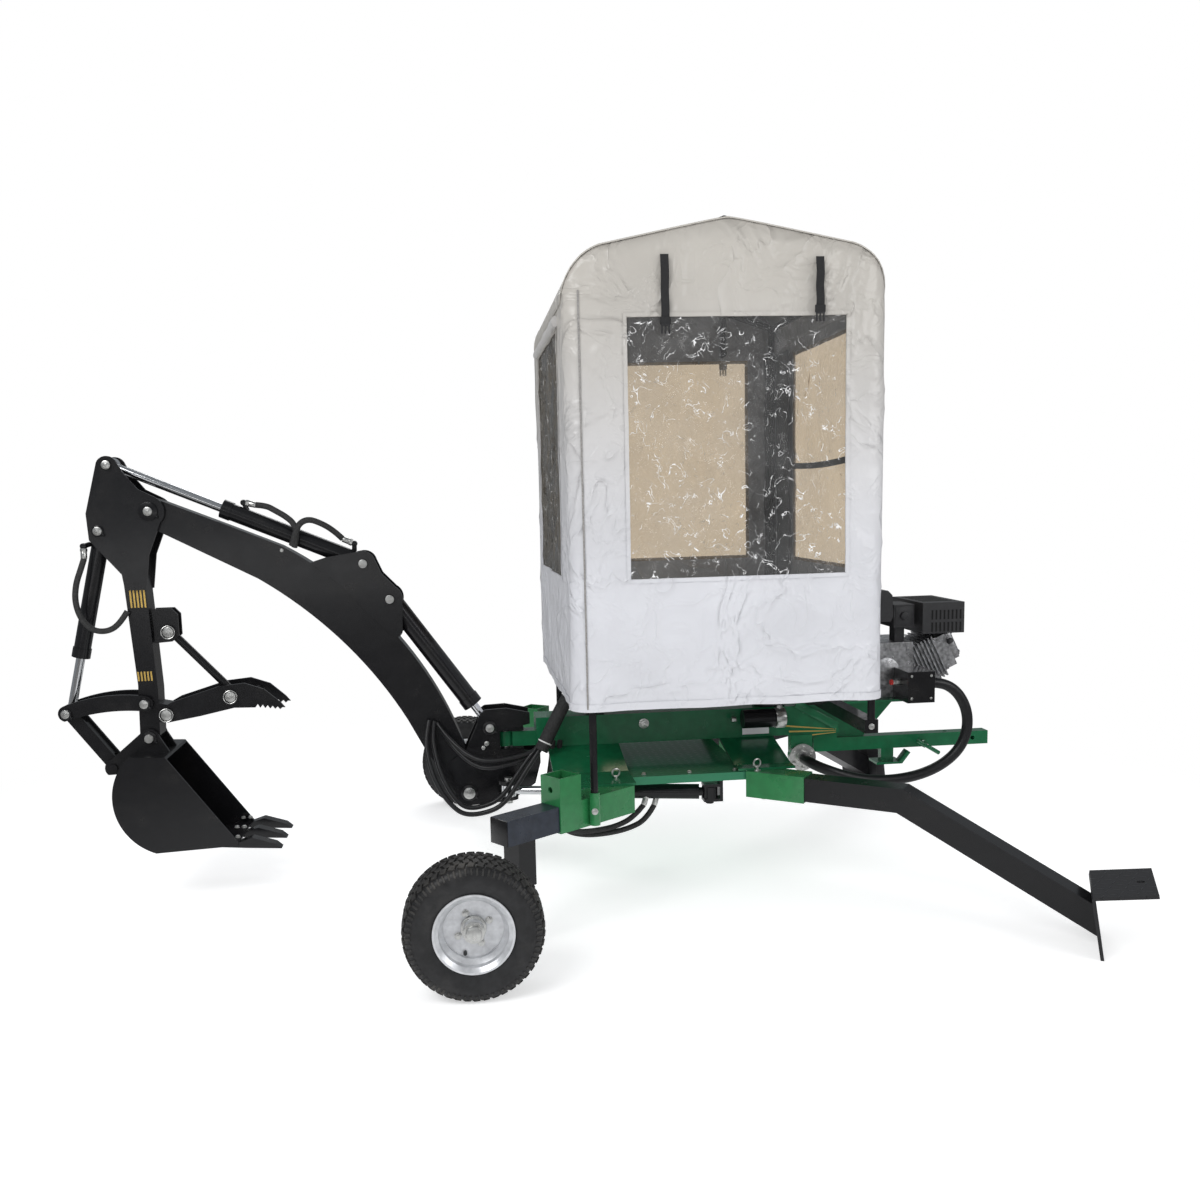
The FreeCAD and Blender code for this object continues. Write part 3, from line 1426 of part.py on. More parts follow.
def suction_hose():
    return hose("suction_hose", [(sx.value + x, y, z) for x, y, z in HOSE_RUN],
                size["hose_radius"].value)


def check_and_write():
    doc.recompute()
    bad = [o.Name for o in doc.Objects if "Invalid" in o.State or "Error" in o.State]
    if bad:
        raise RuntimeError("objects that failed: " + ", ".join(bad))
    os.makedirs("parts", exist_ok=True)
    for thing in nodes:
        shape = thing.Shape
        if shape.isNull() or not shape.isValid() or not shape.Solids:
            raise RuntimeError("no valid solid in " + thing.Label)
        shape.exportStep(f"parts/{thing.Label}.step")
        print(thing.Label, len(shape.Solids), "solids", round(shape.Volume / 1000), "cm3")


for build in (main_frame, wings, sleeves, stow_sockets, wheel_legs, wheel_carriers,
              foot_legs, drawbar, deck, swing_frame, boom, boom_pins, arm, arm_pins, thumb,
              links, bucket, rams, swing_ram,
              canvas_cabin, cabin_frame, cross_beam, operator_place, engine, tank_flange,
              oil_filter, suction_hose):
    build()
wheel("near", -1)
wheel("far", 1)
check_and_write()
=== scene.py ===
# %% [markdown]
# # A towable backhoe with a canvas cabin
# The solids of the machine come ready made: beam, legs, boom, arm, bucket, cylinders and engine.
# This lesson dresses them. It gives each surface its finish and adds the sewn canvas, the
# hydraulic hoses, the tyre tread, the bolts and the engine's small parts.

# %% Load the solids
import json
import math

import bmesh
import bpy
from mathutils import Matrix, Vector, noise

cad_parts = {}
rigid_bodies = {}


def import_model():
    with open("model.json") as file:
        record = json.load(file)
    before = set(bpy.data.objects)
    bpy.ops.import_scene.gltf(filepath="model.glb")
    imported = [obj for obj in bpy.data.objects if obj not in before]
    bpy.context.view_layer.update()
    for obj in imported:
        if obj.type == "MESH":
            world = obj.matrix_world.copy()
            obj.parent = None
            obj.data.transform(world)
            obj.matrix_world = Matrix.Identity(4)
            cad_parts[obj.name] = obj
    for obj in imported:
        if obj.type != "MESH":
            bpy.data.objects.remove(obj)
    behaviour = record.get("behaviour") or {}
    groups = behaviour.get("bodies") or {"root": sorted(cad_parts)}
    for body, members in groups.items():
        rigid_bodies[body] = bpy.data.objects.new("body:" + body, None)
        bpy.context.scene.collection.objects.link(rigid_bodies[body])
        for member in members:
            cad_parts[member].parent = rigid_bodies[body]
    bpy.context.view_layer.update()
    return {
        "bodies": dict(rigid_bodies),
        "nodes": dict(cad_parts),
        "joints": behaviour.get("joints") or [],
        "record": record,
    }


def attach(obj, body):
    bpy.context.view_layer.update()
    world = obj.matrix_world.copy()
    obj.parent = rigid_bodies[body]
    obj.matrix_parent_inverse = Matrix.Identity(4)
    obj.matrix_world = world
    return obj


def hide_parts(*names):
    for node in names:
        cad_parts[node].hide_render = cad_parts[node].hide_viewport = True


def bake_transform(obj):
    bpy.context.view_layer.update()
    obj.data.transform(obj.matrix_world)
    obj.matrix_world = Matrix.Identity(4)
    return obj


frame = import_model()
nodes = frame["nodes"]


# %% [markdown]
# ## Camera
# The photograph was taken standing in front of the boom end, looking slightly down. The focal
# length and the small shifts put the machine where the photograph has it in the picture.

# %% Camera
def camera_turn(yaw, pitch, roll):
    """Camera axes for a look along +Y that is turned, tipped down and rolled."""
    forward = Vector((math.sin(yaw) * math.cos(pitch), math.cos(yaw) * math.cos(pitch),
                      -math.sin(pitch)))
    right = Vector((math.cos(yaw), -math.sin(yaw), 0))
    down = forward.cross(right)
    right, down = (right * math.cos(roll) + down * math.sin(roll),
                   down * math.cos(roll) - right * math.sin(roll))
    turn = Matrix((right, -down, -forward)).transposed()
    return turn.to_4x4()


EYE = Vector((-0.3286, -3.964, 1.367))
camera_data = bpy.data.cameras.new("photo_camera")
camera_data.sensor_width = 36
camera_data.lens = 33.071
camera_data.shift_x = 0.0315
camera_data.shift_y = 0.0370
camera = bpy.data.objects.new("photo_camera", camera_data)
camera.matrix_world = Matrix.Translation(EYE) @ camera_turn(0.092429, 0.129745, 0.027857)
bpy.context.scene.collection.objects.link(camera)
bpy.context.scene.camera = camera
print("camera height", round(EYE.z, 3), "m")


# %% [markdown]
# ## Light and floor
# A studio like the photograph's: a white sweep, one wide soft light from above and the left, and
# a weaker one from the right. The floor shows white to the camera but still takes the shadow.

# %% Floor, world and lamps
def fresh_material(name):
    material = bpy.data.materials.new(name)
    material.use_nodes = True
    material.node_tree.nodes.clear()
    return material, material.node_tree.nodes, material.node_tree.links


def new_node(kit, kind, values=(), **settings):
    """Shader node of a kind, with its settings and its unlinked inputs set."""
    made = kit.new("ShaderNode" + kind)
    for name, value in settings.items():
        setattr(made, name, value)
    for name, value in dict(values).items():
        made.inputs[name].default_value = value
    return made


floor_mesh = bmesh.new()
bmesh.ops.create_grid(floor_mesh, x_segments=1, y_segments=1, size=30)
floor_data = bpy.data.meshes.new("floor")
floor_mesh.to_mesh(floor_data)
floor_mesh.free()
floor = bpy.data.objects.new("floor", floor_data)
bpy.context.scene.collection.objects.link(floor)
floor_paint, kit, wires = fresh_material("floor_white")
surface = new_node(kit, "BsdfPrincipled", {"Base Color": (0.86, 0.86, 0.86, 1), "Roughness": 0.9,
                    "Specular IOR Level": 0.1})
# Far from the machine the floor turns into plain white, so that no horizon shows
glow = new_node(kit, "Emission", {"Color": (1, 1, 1, 1)})
where = new_node(kit, "TexCoord")
far = new_node(kit, "VectorMath", operation="LENGTH")
fade = new_node(kit, "MapRange", {"From Min": 1.2, "From Max": 3.2},
                interpolation_type="SMOOTHSTEP")
mixed = new_node(kit, "MixShader")
out = new_node(kit, "OutputMaterial")
surface.inputs["Emission Color"].default_value = (1, 1, 1, 1)
# Gloss paint mirrors a dimmer floor, as the dark hall behind the camera
look = new_node(kit, "LightPath")
level = new_node(kit, "MapRange", {"To Min": 1.0, "To Max": 0.16})
half_level = new_node(kit, "Math", {1: 0.5}, operation="MULTIPLY")
wires.new(look.outputs["Is Glossy Ray"], level.inputs["Value"])
wires.new(level.outputs[0], half_level.inputs[0])
wires.new(half_level.outputs[0], surface.inputs["Emission Strength"])
wires.new(level.outputs[0], glow.inputs["Strength"])
wires.new(where.outputs["Object"], far.inputs[0])
wires.new(far.outputs["Value"], fade.inputs["Value"])
wires.new(fade.outputs[0], mixed.inputs[0])
wires.new(surface.outputs[0], mixed.inputs[1])
wires.new(glow.outputs[0], mixed.inputs[2])
wires.new(mixed.outputs[0], out.inputs[0])
floor.data.materials.append(floor_paint)

world = bpy.data.worlds.new("studio")
world.use_nodes = True
kit, wires = world.node_tree.nodes, world.node_tree.links
kit.clear()
soft = new_node(kit, "Background", {"Color": (0.95, 0.97, 1.0, 1), "Strength": 0.5})
white = new_node(kit, "Background", {"Color": (1, 1, 1, 1), "Strength": 1.0})
dim = new_node(kit, "Background", {"Color": (0.9, 0.95, 1.0, 1), "Strength": 0.22})
ray = new_node(kit, "LightPath")
mirrored = new_node(kit, "MixShader")
pick = new_node(kit, "MixShader")
out = new_node(kit, "OutputWorld")
wires.new(ray.outputs["Is Glossy Ray"], mirrored.inputs[0])
wires.new(soft.outputs[0], mirrored.inputs[1])
wires.new(dim.outputs[0], mirrored.inputs[2])
wires.new(ray.outputs["Is Camera Ray"], pick.inputs[0])
wires.new(mirrored.outputs[0], pick.inputs[1])
wires.new(white.outputs[0], pick.inputs[2])
wires.new(pick.outputs[0], out.inputs[0])
bpy.context.scene.world = world
bpy.context.scene.view_settings.view_transform = "Standard"


def area_lamp(name, place, target, size, power):
    data = bpy.data.lights.new(name, "AREA")
    data.shape = "RECTANGLE"
    data.size, data.size_y = size
    data.energy = power
    lamp = bpy.data.objects.new(name, data)
    look = (Vector(target) - Vector(place)).to_track_quat("-Z", "Y")
    lamp.matrix_world = Matrix.Translation(place) @ look.to_matrix().to_4x4()
    bpy.context.scene.collection.objects.link(lamp)


area_lamp("key", (-3.2, -4.2, 5.0), (0, 0, 0.9), (3.5, 2.5), 170)
area_lamp("fill", (4.0, -3.6, 2.6), (0.4, 0, 0.9), (2.5, 2.5), 62)
area_lamp("back", (0.5, 4.5, 4.5), (0, 0, 1.0), (4.0, 2.0), 85)
area_lamp("strip", (-1.0, -5.5, 0.9), (0, 0, 0.7), (6.0, 0.5), 14)


# %% [markdown]
# ## Finishes
# One small builder makes every finish: a base colour that noise varies a little, a roughness
# that another noise varies, and a fine bump. Each finish is a row of plain numbers, so gloss
# paint, cast metal and rubber differ by their values and scale.

# %% Finish builder
def finish(name, colour, rough, metal=0.0, vary=0.12, grain=60.0, bump=0.05, bump_scale=220.0,
           depth=0.001, rough_vary=0.1, coat=0.0, dust=0.0, shine=0.5):
    """Procedural finish on Object coordinates."""
    material, kit, wires = fresh_material(name)
    place = new_node(kit, "TexCoord")
    shader = new_node(kit, "BsdfPrincipled", {"Metallic": metal, "Specular IOR Level": shine,
                       "Coat Weight": coat, "Coat Roughness": 0.08})
    out = new_node(kit, "OutputMaterial")
    cloud = new_node(kit, "TexNoise", {"Scale": grain, "Detail": 5})
    ramp = new_node(kit, "ValToRGB")
    low = [c * (1 - vary) for c in colour]
    high = [min(c * (1 + vary), 1) for c in colour]
    ramp.color_ramp.elements[0].position = 0.3
    ramp.color_ramp.elements[1].position = 0.7
    ramp.color_ramp.elements[0].color = (*low, 1)
    ramp.color_ramp.elements[1].color = (*high, 1)
    wires.new(place.outputs["Object"], cloud.inputs["Vector"])
    wires.new(cloud.outputs["Fac"], ramp.inputs[0])
    colour_out = ramp.outputs[0]
    if dust > 0:
        speck = new_node(kit, "TexNoise", {"Scale": 7, "Detail": 8, "Roughness": 0.7})
        step = new_node(kit, "MapRange", {"From Min": 0.52, "From Max": 0.8, "To Max": dust})
        blend = new_node(kit, "Mix", {"B": (0.32, 0.29, 0.25, 1)}, data_type="RGBA")
        wires.new(place.outputs["Object"], speck.inputs["Vector"])
        wires.new(speck.outputs["Fac"], step.inputs["Value"])
        wires.new(step.outputs[0], blend.inputs[0])
        wires.new(colour_out, blend.inputs["A"])
        colour_out = blend.outputs["Result"]
    wires.new(colour_out, shader.inputs["Base Color"])
    smear = new_node(kit, "TexNoise", {"Scale": grain * 0.35, "Detail": 6})
    span = new_node(kit, "MapRange", {"To Min": max(rough - rough_vary, 0.02),
                     "To Max": min(rough + rough_vary, 1)})
    wires.new(place.outputs["Object"], smear.inputs["Vector"])
    wires.new(smear.outputs["Fac"], span.inputs["Value"])
    wires.new(span.outputs[0], shader.inputs["Roughness"])
    fine = new_node(kit, "TexNoise", {"Scale": bump_scale, "Detail": 3})
    relief = new_node(kit, "Bump", {"Strength": bump, "Distance": depth})
    wires.new(place.outputs["Object"], fine.inputs["Vector"])
    wires.new(fine.outputs["Fac"], relief.inputs["Height"])
    wires.new(relief.outputs[0], shader.inputs["Normal"])
    wires.new(shader.outputs[0], out.inputs[0])
    return material


# %% [markdown]
# The machine's own finishes: two glossy paints, a blue-black one on the wheel legs, zinc and
# chrome, rubber, plastic and film. Each solid takes the finish that its material slot names.

# %% Paints, metals, rubber and plastic
black_paint = finish("gloss_black_paint", (0.007, 0.007, 0.008), 0.24, grain=40, bump=0.25,
                     bump_scale=90, depth=0.0006, coat=0.12, dust=0.03, shine=0.35)
leg_paint = finish("blue_black_paint", (0.022, 0.028, 0.042), 0.3, grain=30, bump=0.3,
                   bump_scale=70, depth=0.0008, coat=0.1, dust=0.04, shine=0.4, vary=0.25)
green_paint = finish("gloss_green_paint", (0.008, 0.120, 0.048), 0.24, grain=30, bump=0.3,
                     bump_scale=70, depth=0.0008, coat=0.25, dust=0.03, shine=0.4)
zinc = finish("zinc_plate", (0.66, 0.66, 0.64), 0.3, metal=1.0, grain=120, bump=0.2,
              bump_scale=400)
chrome = finish("hard_chrome", (0.82, 0.83, 0.85), 0.1, metal=1.0, vary=0.03, rough_vary=0.05,
                bump=0.03)
cast_alloy = finish("cast_alloy", (0.42, 0.42, 0.43), 0.3, metal=0.95, grain=70, bump=0.6,
                    bump_scale=500, vary=0.45)
wheel_silver = finish("silver_wheel_paint", (0.66, 0.67, 0.69), 0.34, metal=0.55, grain=60,
                      bump=0.15, coat=0.2)
satin_black = finish("satin_black_steel", (0.022, 0.022, 0.024), 0.42, grain=80, bump=0.3,
                     bump_scale=500)
black_plastic = finish("grained_black_plastic", (0.02, 0.02, 0.022), 0.5, grain=90, bump=0.5,
                       bump_scale=900)
hose_rubber = finish("hose_rubber", (0.010, 0.010, 0.011), 0.36, grain=70, bump=0.35,
                     bump_scale=500, shine=0.4)
tyre_rubber = finish("tyre_rubber", (0.015, 0.015, 0.016), 0.45, grain=45, bump=0.5,
                     bump_scale=160, dust=0.07, vary=0.3, shine=0.4)
gold_film = finish("gold_film", (0.62, 0.42, 0.11), 0.32, metal=0.5, vary=0.06, bump=0.02)
white_film = finish("white_film", (0.78, 0.79, 0.8), 0.35, vary=0.03, bump=0.02)
blue_film = finish("blue_film", (0.02, 0.1, 0.42), 0.35, vary=0.05, bump=0.02)
seat_vinyl = finish("seat_vinyl", (0.03, 0.03, 0.032), 0.45, grain=50, bump=0.6, bump_scale=350)
SLOT_FINISH = {
    "frame_black": black_paint, "frame_green": green_paint, "zinc": zinc, "rod": chrome,
    "engine_metal": cast_alloy, "engine_black": satin_black, "engine_plastic": black_plastic,
    "pump": black_paint, "filter": black_paint, "rubber": hose_rubber, "tyre": tyre_rubber,
    "rim": wheel_silver, "seat": seat_vinyl, "control": satin_black,
}
OWN_FINISH = {"wheel_legs": leg_paint}
node_slot = {row["node"]: row["material_slot"] for row in frame["record"]["subparts"]}
for name, solid in nodes.items():
    material = OWN_FINISH.get(name) or SLOT_FINISH.get(node_slot.get(name))
    if material:
        solid.data.materials.clear()
        solid.data.materials.append(material)
print("finishes:", len(SLOT_FINISH))

# %% [markdown]
# ## Making pieces
# Each new piece starts as a bmesh, gets its finish and rides on the body that carries it.
# These helpers turn a bmesh into an object and lay small round parts along any axis.

# %% Piece helpers
def to_piece(mesh, name, material, body="chassis", smooth=40):
    """Object from a bmesh: normals made consistent, soft shading below an angle."""
    bmesh.ops.recalc_face_normals(mesh, faces=mesh.faces)
    data = bpy.data.meshes.new(name)
    mesh.to_mesh(data)
    mesh.free()
    data.materials.append(material)
    if smooth:
        data.shade_smooth()
        data.set_sharp_from_angle(angle=math.radians(smooth))
    piece = bpy.data.objects.new(name, data)
    bpy.context.scene.collection.objects.link(piece)
    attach(piece, body)
    return piece


def turn_to(axis):
    """Rotation that lays local Z along an axis."""
    return Vector(axis).to_track_quat("Z", "Y").to_matrix().to_4x4()


def add_round(mesh, centre, axis, radius, length, segments=24, edge=0.0, tip=None):
    """Closed round or hexagonal bar, centred, its rims rounded by edge."""
    made = bmesh.ops.create_cone(mesh, cap_ends=True, segments=segments, radius1=radius,
                                 radius2=radius if tip is None else tip, depth=length)
    verts = made["verts"]
    if edge:
        rims = {e for v in verts for e in v.link_edges if len(e.link_faces) == 2
                and any(len(f.verts) > 4 for f in e.link_faces)}
        result = bmesh.ops.bevel(mesh, geom=list(rims), offset=edge, segments=2, profile=0.5,
                                 affect="EDGES", material=-1)
        verts = list({v for v in verts if v.is_valid} | set(result["verts"]))
    bmesh.ops.transform(mesh, verts=verts,
                        matrix=Matrix.Translation(centre) @ turn_to(axis))
    return verts


def add_block(mesh, centre, size, turn=None, edge=0.0, segments=2):
    """Closed block with rounded edges, turned by a matrix."""
    made = bmesh.ops.create_cube(mesh, size=1)
    verts = made["verts"]
    bmesh.ops.scale(mesh, vec=Vector(size), verts=verts)
    if edge:
        edges = list({e for v in verts for e in v.link_edges})
        result = bmesh.ops.bevel(mesh, geom=edges, offset=edge, segments=segments, profile=0.5,
                                 affect="EDGES", material=-1)
        verts = list({v for v in verts if v.is_valid} | set(result["verts"]))
    matrix = Matrix.Translation(centre) @ (turn if turn else Matrix.Identity(4))
    bmesh.ops.transform(mesh, verts=verts, matrix=matrix)
    return verts


def add_bolt(mesh, face, axis, size=0.010, washer=True):
    """Hexagon head on a washer, sitting on the point face and pointing along axis."""
    face, axis = Vector(face), Vector(axis).normalized()
    lift = 0.0
    if washer:
        add_round(mesh, face + axis * 0.001, axis, size * 1.25, 0.002, 24, 0.0004)
        lift = 0.002
    head = size * 0.7
    add_round(mesh, face + axis * (lift + head / 2), axis, size, head, 6, size * 0.08)


# %% [markdown]
# ## Canvas cabin
# The cover is one coated cloth tube that goes round four posts, with a gabled roof sewn on.
# A flat grid is cut along the window edges first, then bent round the plan of the cabin,
# because straight cuts are easy while the sheet is still flat. Noise at three scales makes
# slack, soft vertical folds and a few sharp creases.

# %% Cabin plan and roof line
CABIN_LEFT, CABIN_RIGHT = 0.0104, 1.0204
CABIN_HALF = 0.600
CORNER = 0.060
HEM, EAVE, RIDGE = 0.710, 2.128, 2.200
SHOULDER = 0.165
LONG_SIDE = CABIN_RIGHT - CABIN_LEFT - 2 * CORNER
SHORT_SIDE = 2 * (CABIN_HALF - CORNER)
BEND = CORNER * math.pi / 2
AROUND = 2 * (LONG_SIDE + SHORT_SIDE) + 4 * BEND


def roof_height(x):
    """Height of the roof over x: round shoulders, then straight up to the ridge."""
    inward = max(min(x - CABIN_LEFT, CABIN_RIGHT - x), 0)
    flat = SHOULDER * 0.7
    if inward < flat:
        return EAVE - SHOULDER + math.sqrt(SHOULDER ** 2 - (SHOULDER - inward) ** 2)
    middle = (CABIN_RIGHT - CABIN_LEFT) / 2
    start = EAVE - SHOULDER * 0.046
    share = (inward - flat) / (middle - flat)
    # The ridge pole carries the cloth, and its crest is round
    return start + (RIDGE - start) * (share - 0.04 * share ** 8)


def plan_point(along):
    """Point and outward direction on the cabin's plan, walked from the near wall's left end."""
    along %= AROUND
    walls = (
        (LONG_SIDE, (CABIN_LEFT + CORNER, -CABIN_HALF), 0),
        (SHORT_SIDE, (CABIN_RIGHT, -CABIN_HALF + CORNER), 90),
        (LONG_SIDE, (CABIN_RIGHT - CORNER, CABIN_HALF), 180),
        (SHORT_SIDE, (CABIN_LEFT, CABIN_HALF - CORNER), 270),
    )
    for length, start, heading in walls:
        turn = math.radians(heading)
        ahead = Vector((math.cos(turn), math.sin(turn)))
        outward = Vector((ahead.y, -ahead.x))
        if along <= length:
            return Vector(start) + ahead * along, outward
        along -= length
        if along <= BEND:
            swing = turn + along / CORNER
            outward_end = Vector((math.sin(swing), -math.cos(swing)))
            centre = Vector(start) + ahead * length - outward * CORNER
            return centre + outward_end * CORNER, outward_end
        along -= BEND
    return Vector((CABIN_LEFT + CORNER, -CABIN_HALF)), Vector((0, -1))


print("cloth round the cabin", round(AROUND, 3), "m")


# %% [markdown]
# The walls: folds hang from the eave and open towards the hem. The creases follow a ridged
# noise, which is sharp along its crests, as on a sheet that was packed folded.

# %% Canvas walls
FLAT_TOP = 1.95
WALL_TOP = 2.02
WINDOW_LOW, WINDOW_HIGH = 1.119, 1.905
NEAR_WINDOW = (0.2034 - CABIN_LEFT - CORNER, 0.8824 - CABIN_LEFT - CORNER)
RIGHT_START = LONG_SIDE + BEND
FAR_START = RIGHT_START + SHORT_SIDE + BEND
LEFT_START = FAR_START + LONG_SIDE + BEND
WINDOWS = (
    # start along the wall, end
    NEAR_WINDOW,
    (RIGHT_START + SHORT_SIDE / 2 - 0.36, RIGHT_START + SHORT_SIDE / 2 + 0.36),
    (FAR_START + LONG_SIDE - NEAR_WINDOW[1], FAR_START + LONG_SIDE - NEAR_WINDOW[0]),
    (LEFT_START + SHORT_SIDE / 2 - 0.36, LEFT_START + SHORT_SIDE / 2 + 0.36),
)


def cloth_offset(along, height):
    """How far the cloth stands out from its plan, in metres."""
    loop = along / AROUND * 2 * math.pi
    u, v = math.cos(loop) * 0.69, math.sin(loop) * 0.69
    slack = noise.noise(Vector((u * 2.6, v * 2.6, height * 1.3))) * 0.009
    low = max(0.0, (1.25 - height) / 0.55)
    high = max(0.0, (height - 1.75) / 0.4)
    folds = noise.noise(Vector((u * 11, v * 11, height * 1.1 + 4))) * 0.0085 * (0.35 + low + high)
    ridge = 1 - abs(noise.noise(Vector((u * 5 + height * 2.1, v * 5 - height, height * 3.3 + 9))))
    crease = (ridge ** 14) * 0.0042
    return slack + folds + crease


def wall_place(along, height, out=0.0):
    """Bent place of a flat point (along, height)."""
    point, outward = plan_point(along)
    top = roof_height(point.x)
    z = height
    if height > FLAT_TOP:
        z = FLAT_TOP + (height - FLAT_TOP) / (WALL_TOP - FLAT_TOP) * (top - 0.002 - FLAT_TOP)
    calm = min(1.0, max(0.0, (top - z) / 0.10))
    edge = min(1.0, 0.4 + (z - HEM) / 0.12)
    lift = cloth_offset(along, z) * calm * edge + out
    z += noise.noise(Vector((point.x * 6, point.y * 6, 3))) * 0.006 * max(0, 1 - (z - HEM) / 0.1)
    return Vector((point.x + outward.x * lift, point.y + outward.y * lift, z))


def cut_along(mesh, line, normal):
    geometry = list(mesh.verts) + list(mesh.edges) + list(mesh.faces)
    bmesh.ops.bisect_plane(mesh, geom=geometry, dist=1e-6, plane_co=line, plane_no=normal)


def flat_sheet(columns, rows, start, end, low, high):
    mesh = bmesh.new()
    bmesh.ops.create_grid(mesh, x_segments=columns, y_segments=rows, size=0.5)
    for v in mesh.verts:
        v.co = Vector((start + (v.co.x + 0.5) * (end - start), 0,
                       low + (v.co.y + 0.5) * (high - low)))
    return mesh


walls = flat_sheet(230, 66, 0, AROUND, HEM, WALL_TOP)
for start, end in WINDOWS:
    cut_along(walls, (start, 0, 0), (1, 0, 0))
    cut_along(walls, (end, 0, 0), (1, 0, 0))
cut_along(walls, (0, 0, WINDOW_LOW), (0, 0, 1))
cut_along(walls, (0, 0, WINDOW_HIGH), (0, 0, 1))
cut_along(walls, (0, 0, FLAT_TOP), (0, 0, 1))
in_window = []
for face in walls.faces:
    middle = face.calc_center_median()
    if WINDOW_LOW < middle.z < WINDOW_HIGH and any(a < middle.x < b for a, b in WINDOWS):
        in_window.append(face)
bmesh.ops.delete(walls, geom=in_window, context="FACES")
for v in walls.verts:
    v.co = wall_place(v.co.x, v.co.z, -0.0015)
bmesh.ops.remove_doubles(walls, verts=walls.verts, dist=0.0005)

# %% [markdown]
# Coated canvas is a plastic film on a weave: pale, slightly glossy, with small crinkles that catch
# the light. Its colour has painted light in it: a darker, warmer painted shade under the roof and a
# brighter, cooler painted floor bounce low down. The clear windows are soft vinyl. They are nearly
# see-through, but each wrinkle mirrors the sky, so the sheet gets strong wrinkles and a sharp
# gloss, with short white painted highlights in patches.

# %% Canvas and vinyl finishes
CLOTH_RELIEF = (
    # noise scale, detail, distortion, sharpness of its crests, bump strength, bump depth
    (5.5, 2, 0.6, 1, 0.7, 0.016), (3.4, 3, 1.1, 9, 0.8, 0.009), (9.0, 3, 0.8, 7, 0.6, 0.004),
    (420.0, 1, 0.0, 1, 0.15, 0.0006),
)


def canvas_finish(name, painted_shade_top, painted_bounce_bottom):
    """Coated cloth with painted light: a darker, warmer painted shade under the roof and a
    brighter, cooler painted floor bounce low down, with folds and sharp creases.
    """
    material, kit, wires = fresh_material(name)
    shader = new_node(kit, "BsdfPrincipled", {"Specular IOR Level": 0.45, "Coat Weight": 0.25,
                       "Coat Roughness": 0.16})
    place = new_node(kit, "TexCoord")
    split = new_node(kit, "SeparateXYZ")
    # Painted light: the base colour runs from a darker, warmer painted shade under the roof to a
    # brighter, cooler painted floor bounce low down
    height = new_node(kit, "MapRange", {"From Min": 1.0, "From Max": 2.1},
                      interpolation_type="SMOOTHSTEP")
    painted_light_tone = new_node(kit, "Mix", {"A": (*painted_bounce_bottom, 1), "B": (*painted_shade_top, 1)}, data_type="RGBA")
    wires.new(place.outputs["Object"], split.inputs[0])
    wires.new(split.outputs["Z"], height.inputs["Value"])
    wires.new(height.outputs[0], painted_light_tone.inputs[0])
    stain = new_node(kit, "TexNoise", {"Scale": 4, "Detail": 7})
    shade = new_node(kit, "MapRange", {"To Min": 0.86, "To Max": 1.10})
    dyed = new_node(kit, "VectorMath", operation="SCALE")
    wires.new(place.outputs["Object"], stain.inputs["Vector"])
    wires.new(stain.outputs["Fac"], shade.inputs["Value"])
    wires.new(painted_light_tone.outputs["Result"], dyed.inputs[0])
    wires.new(shade.outputs[0], dyed.inputs["Scale"])
    wires.new(dyed.outputs[0], shader.inputs["Base Color"])
    rough = new_node(kit, "MapRange", {"To Min": 0.30, "To Max": 0.52})
    wires.new(stain.outputs["Fac"], rough.inputs["Value"])
    wires.new(rough.outputs[0], shader.inputs["Roughness"])
    normal = None
    # Folds, then creases along the crests of a folded noise, then the weave
    for scale, detail, twist, sharp, strength, depth in CLOTH_RELIEF:
        wave = new_node(kit, "TexNoise", {"Scale": scale, "Detail": detail, "Distortion": twist})
        wires.new(place.outputs["Object"], wave.inputs["Vector"])
        level = wave.outputs["Fac"]
        if sharp > 1:
            fold = new_node(kit, "Math", {1: 0.5}, operation="PINGPONG")
            crest = new_node(kit, "Math", {1: 2.0}, operation="MULTIPLY")
            thin = new_node(kit, "Math", {1: sharp}, operation="POWER")
            wires.new(level, fold.inputs[0])
            wires.new(fold.outputs[0], crest.inputs[0])
            wires.new(crest.outputs[0], thin.inputs[0])
            level = thin.outputs[0]
        relief = new_node(kit, "Bump", {"Strength": strength, "Distance": depth})
        wires.new(level, relief.inputs["Height"])
        if normal:
            wires.new(normal, relief.inputs["Normal"])
        normal = relief.outputs[0]
    wires.new(normal, shader.inputs["Normal"])
    wires.new(normal, shader.inputs["Coat Normal"])
    out = new_node(kit, "OutputMaterial")
    wires.new(shader.outputs[0], out.inputs[0])
    return material


# Painted light on the outer canvas: the first colour is painted shade under the roof, the second is
# painted floor bounce low down
canvas_paint = canvas_finish("coated_canvas", (0.480, 0.455, 0.415), (0.650, 0.655, 0.690))
# Painted shade: the inner side of the cloth is dark grey, standing in for the shade inside the
# cabin, with the same painted gradient
canvas_inner_painted_shade = canvas_finish("canvas_inner_painted_shade", (0.20, 0.20, 0.20), (0.24, 0.24, 0.245))
rolled_cloth = finish("canvas_binding", (0.50, 0.49, 0.48), 0.5, vary=0.08, grain=40, bump=0.5,
                     bump_scale=160, depth=0.001)
zip_tape = finish("zip_tape", (0.27, 0.26, 0.25), 0.6, vary=0.3, grain=260, bump=0.8,
                  bump_scale=500)
webbing = finish("black_webbing", (0.015, 0.015, 0.016), 0.75, vary=0.35, grain=500, bump=0.9,
                 bump_scale=900)
white_plastic = finish("white_plastic", (0.75, 0.75, 0.74), 0.35, vary=0.04, bump=0.05)


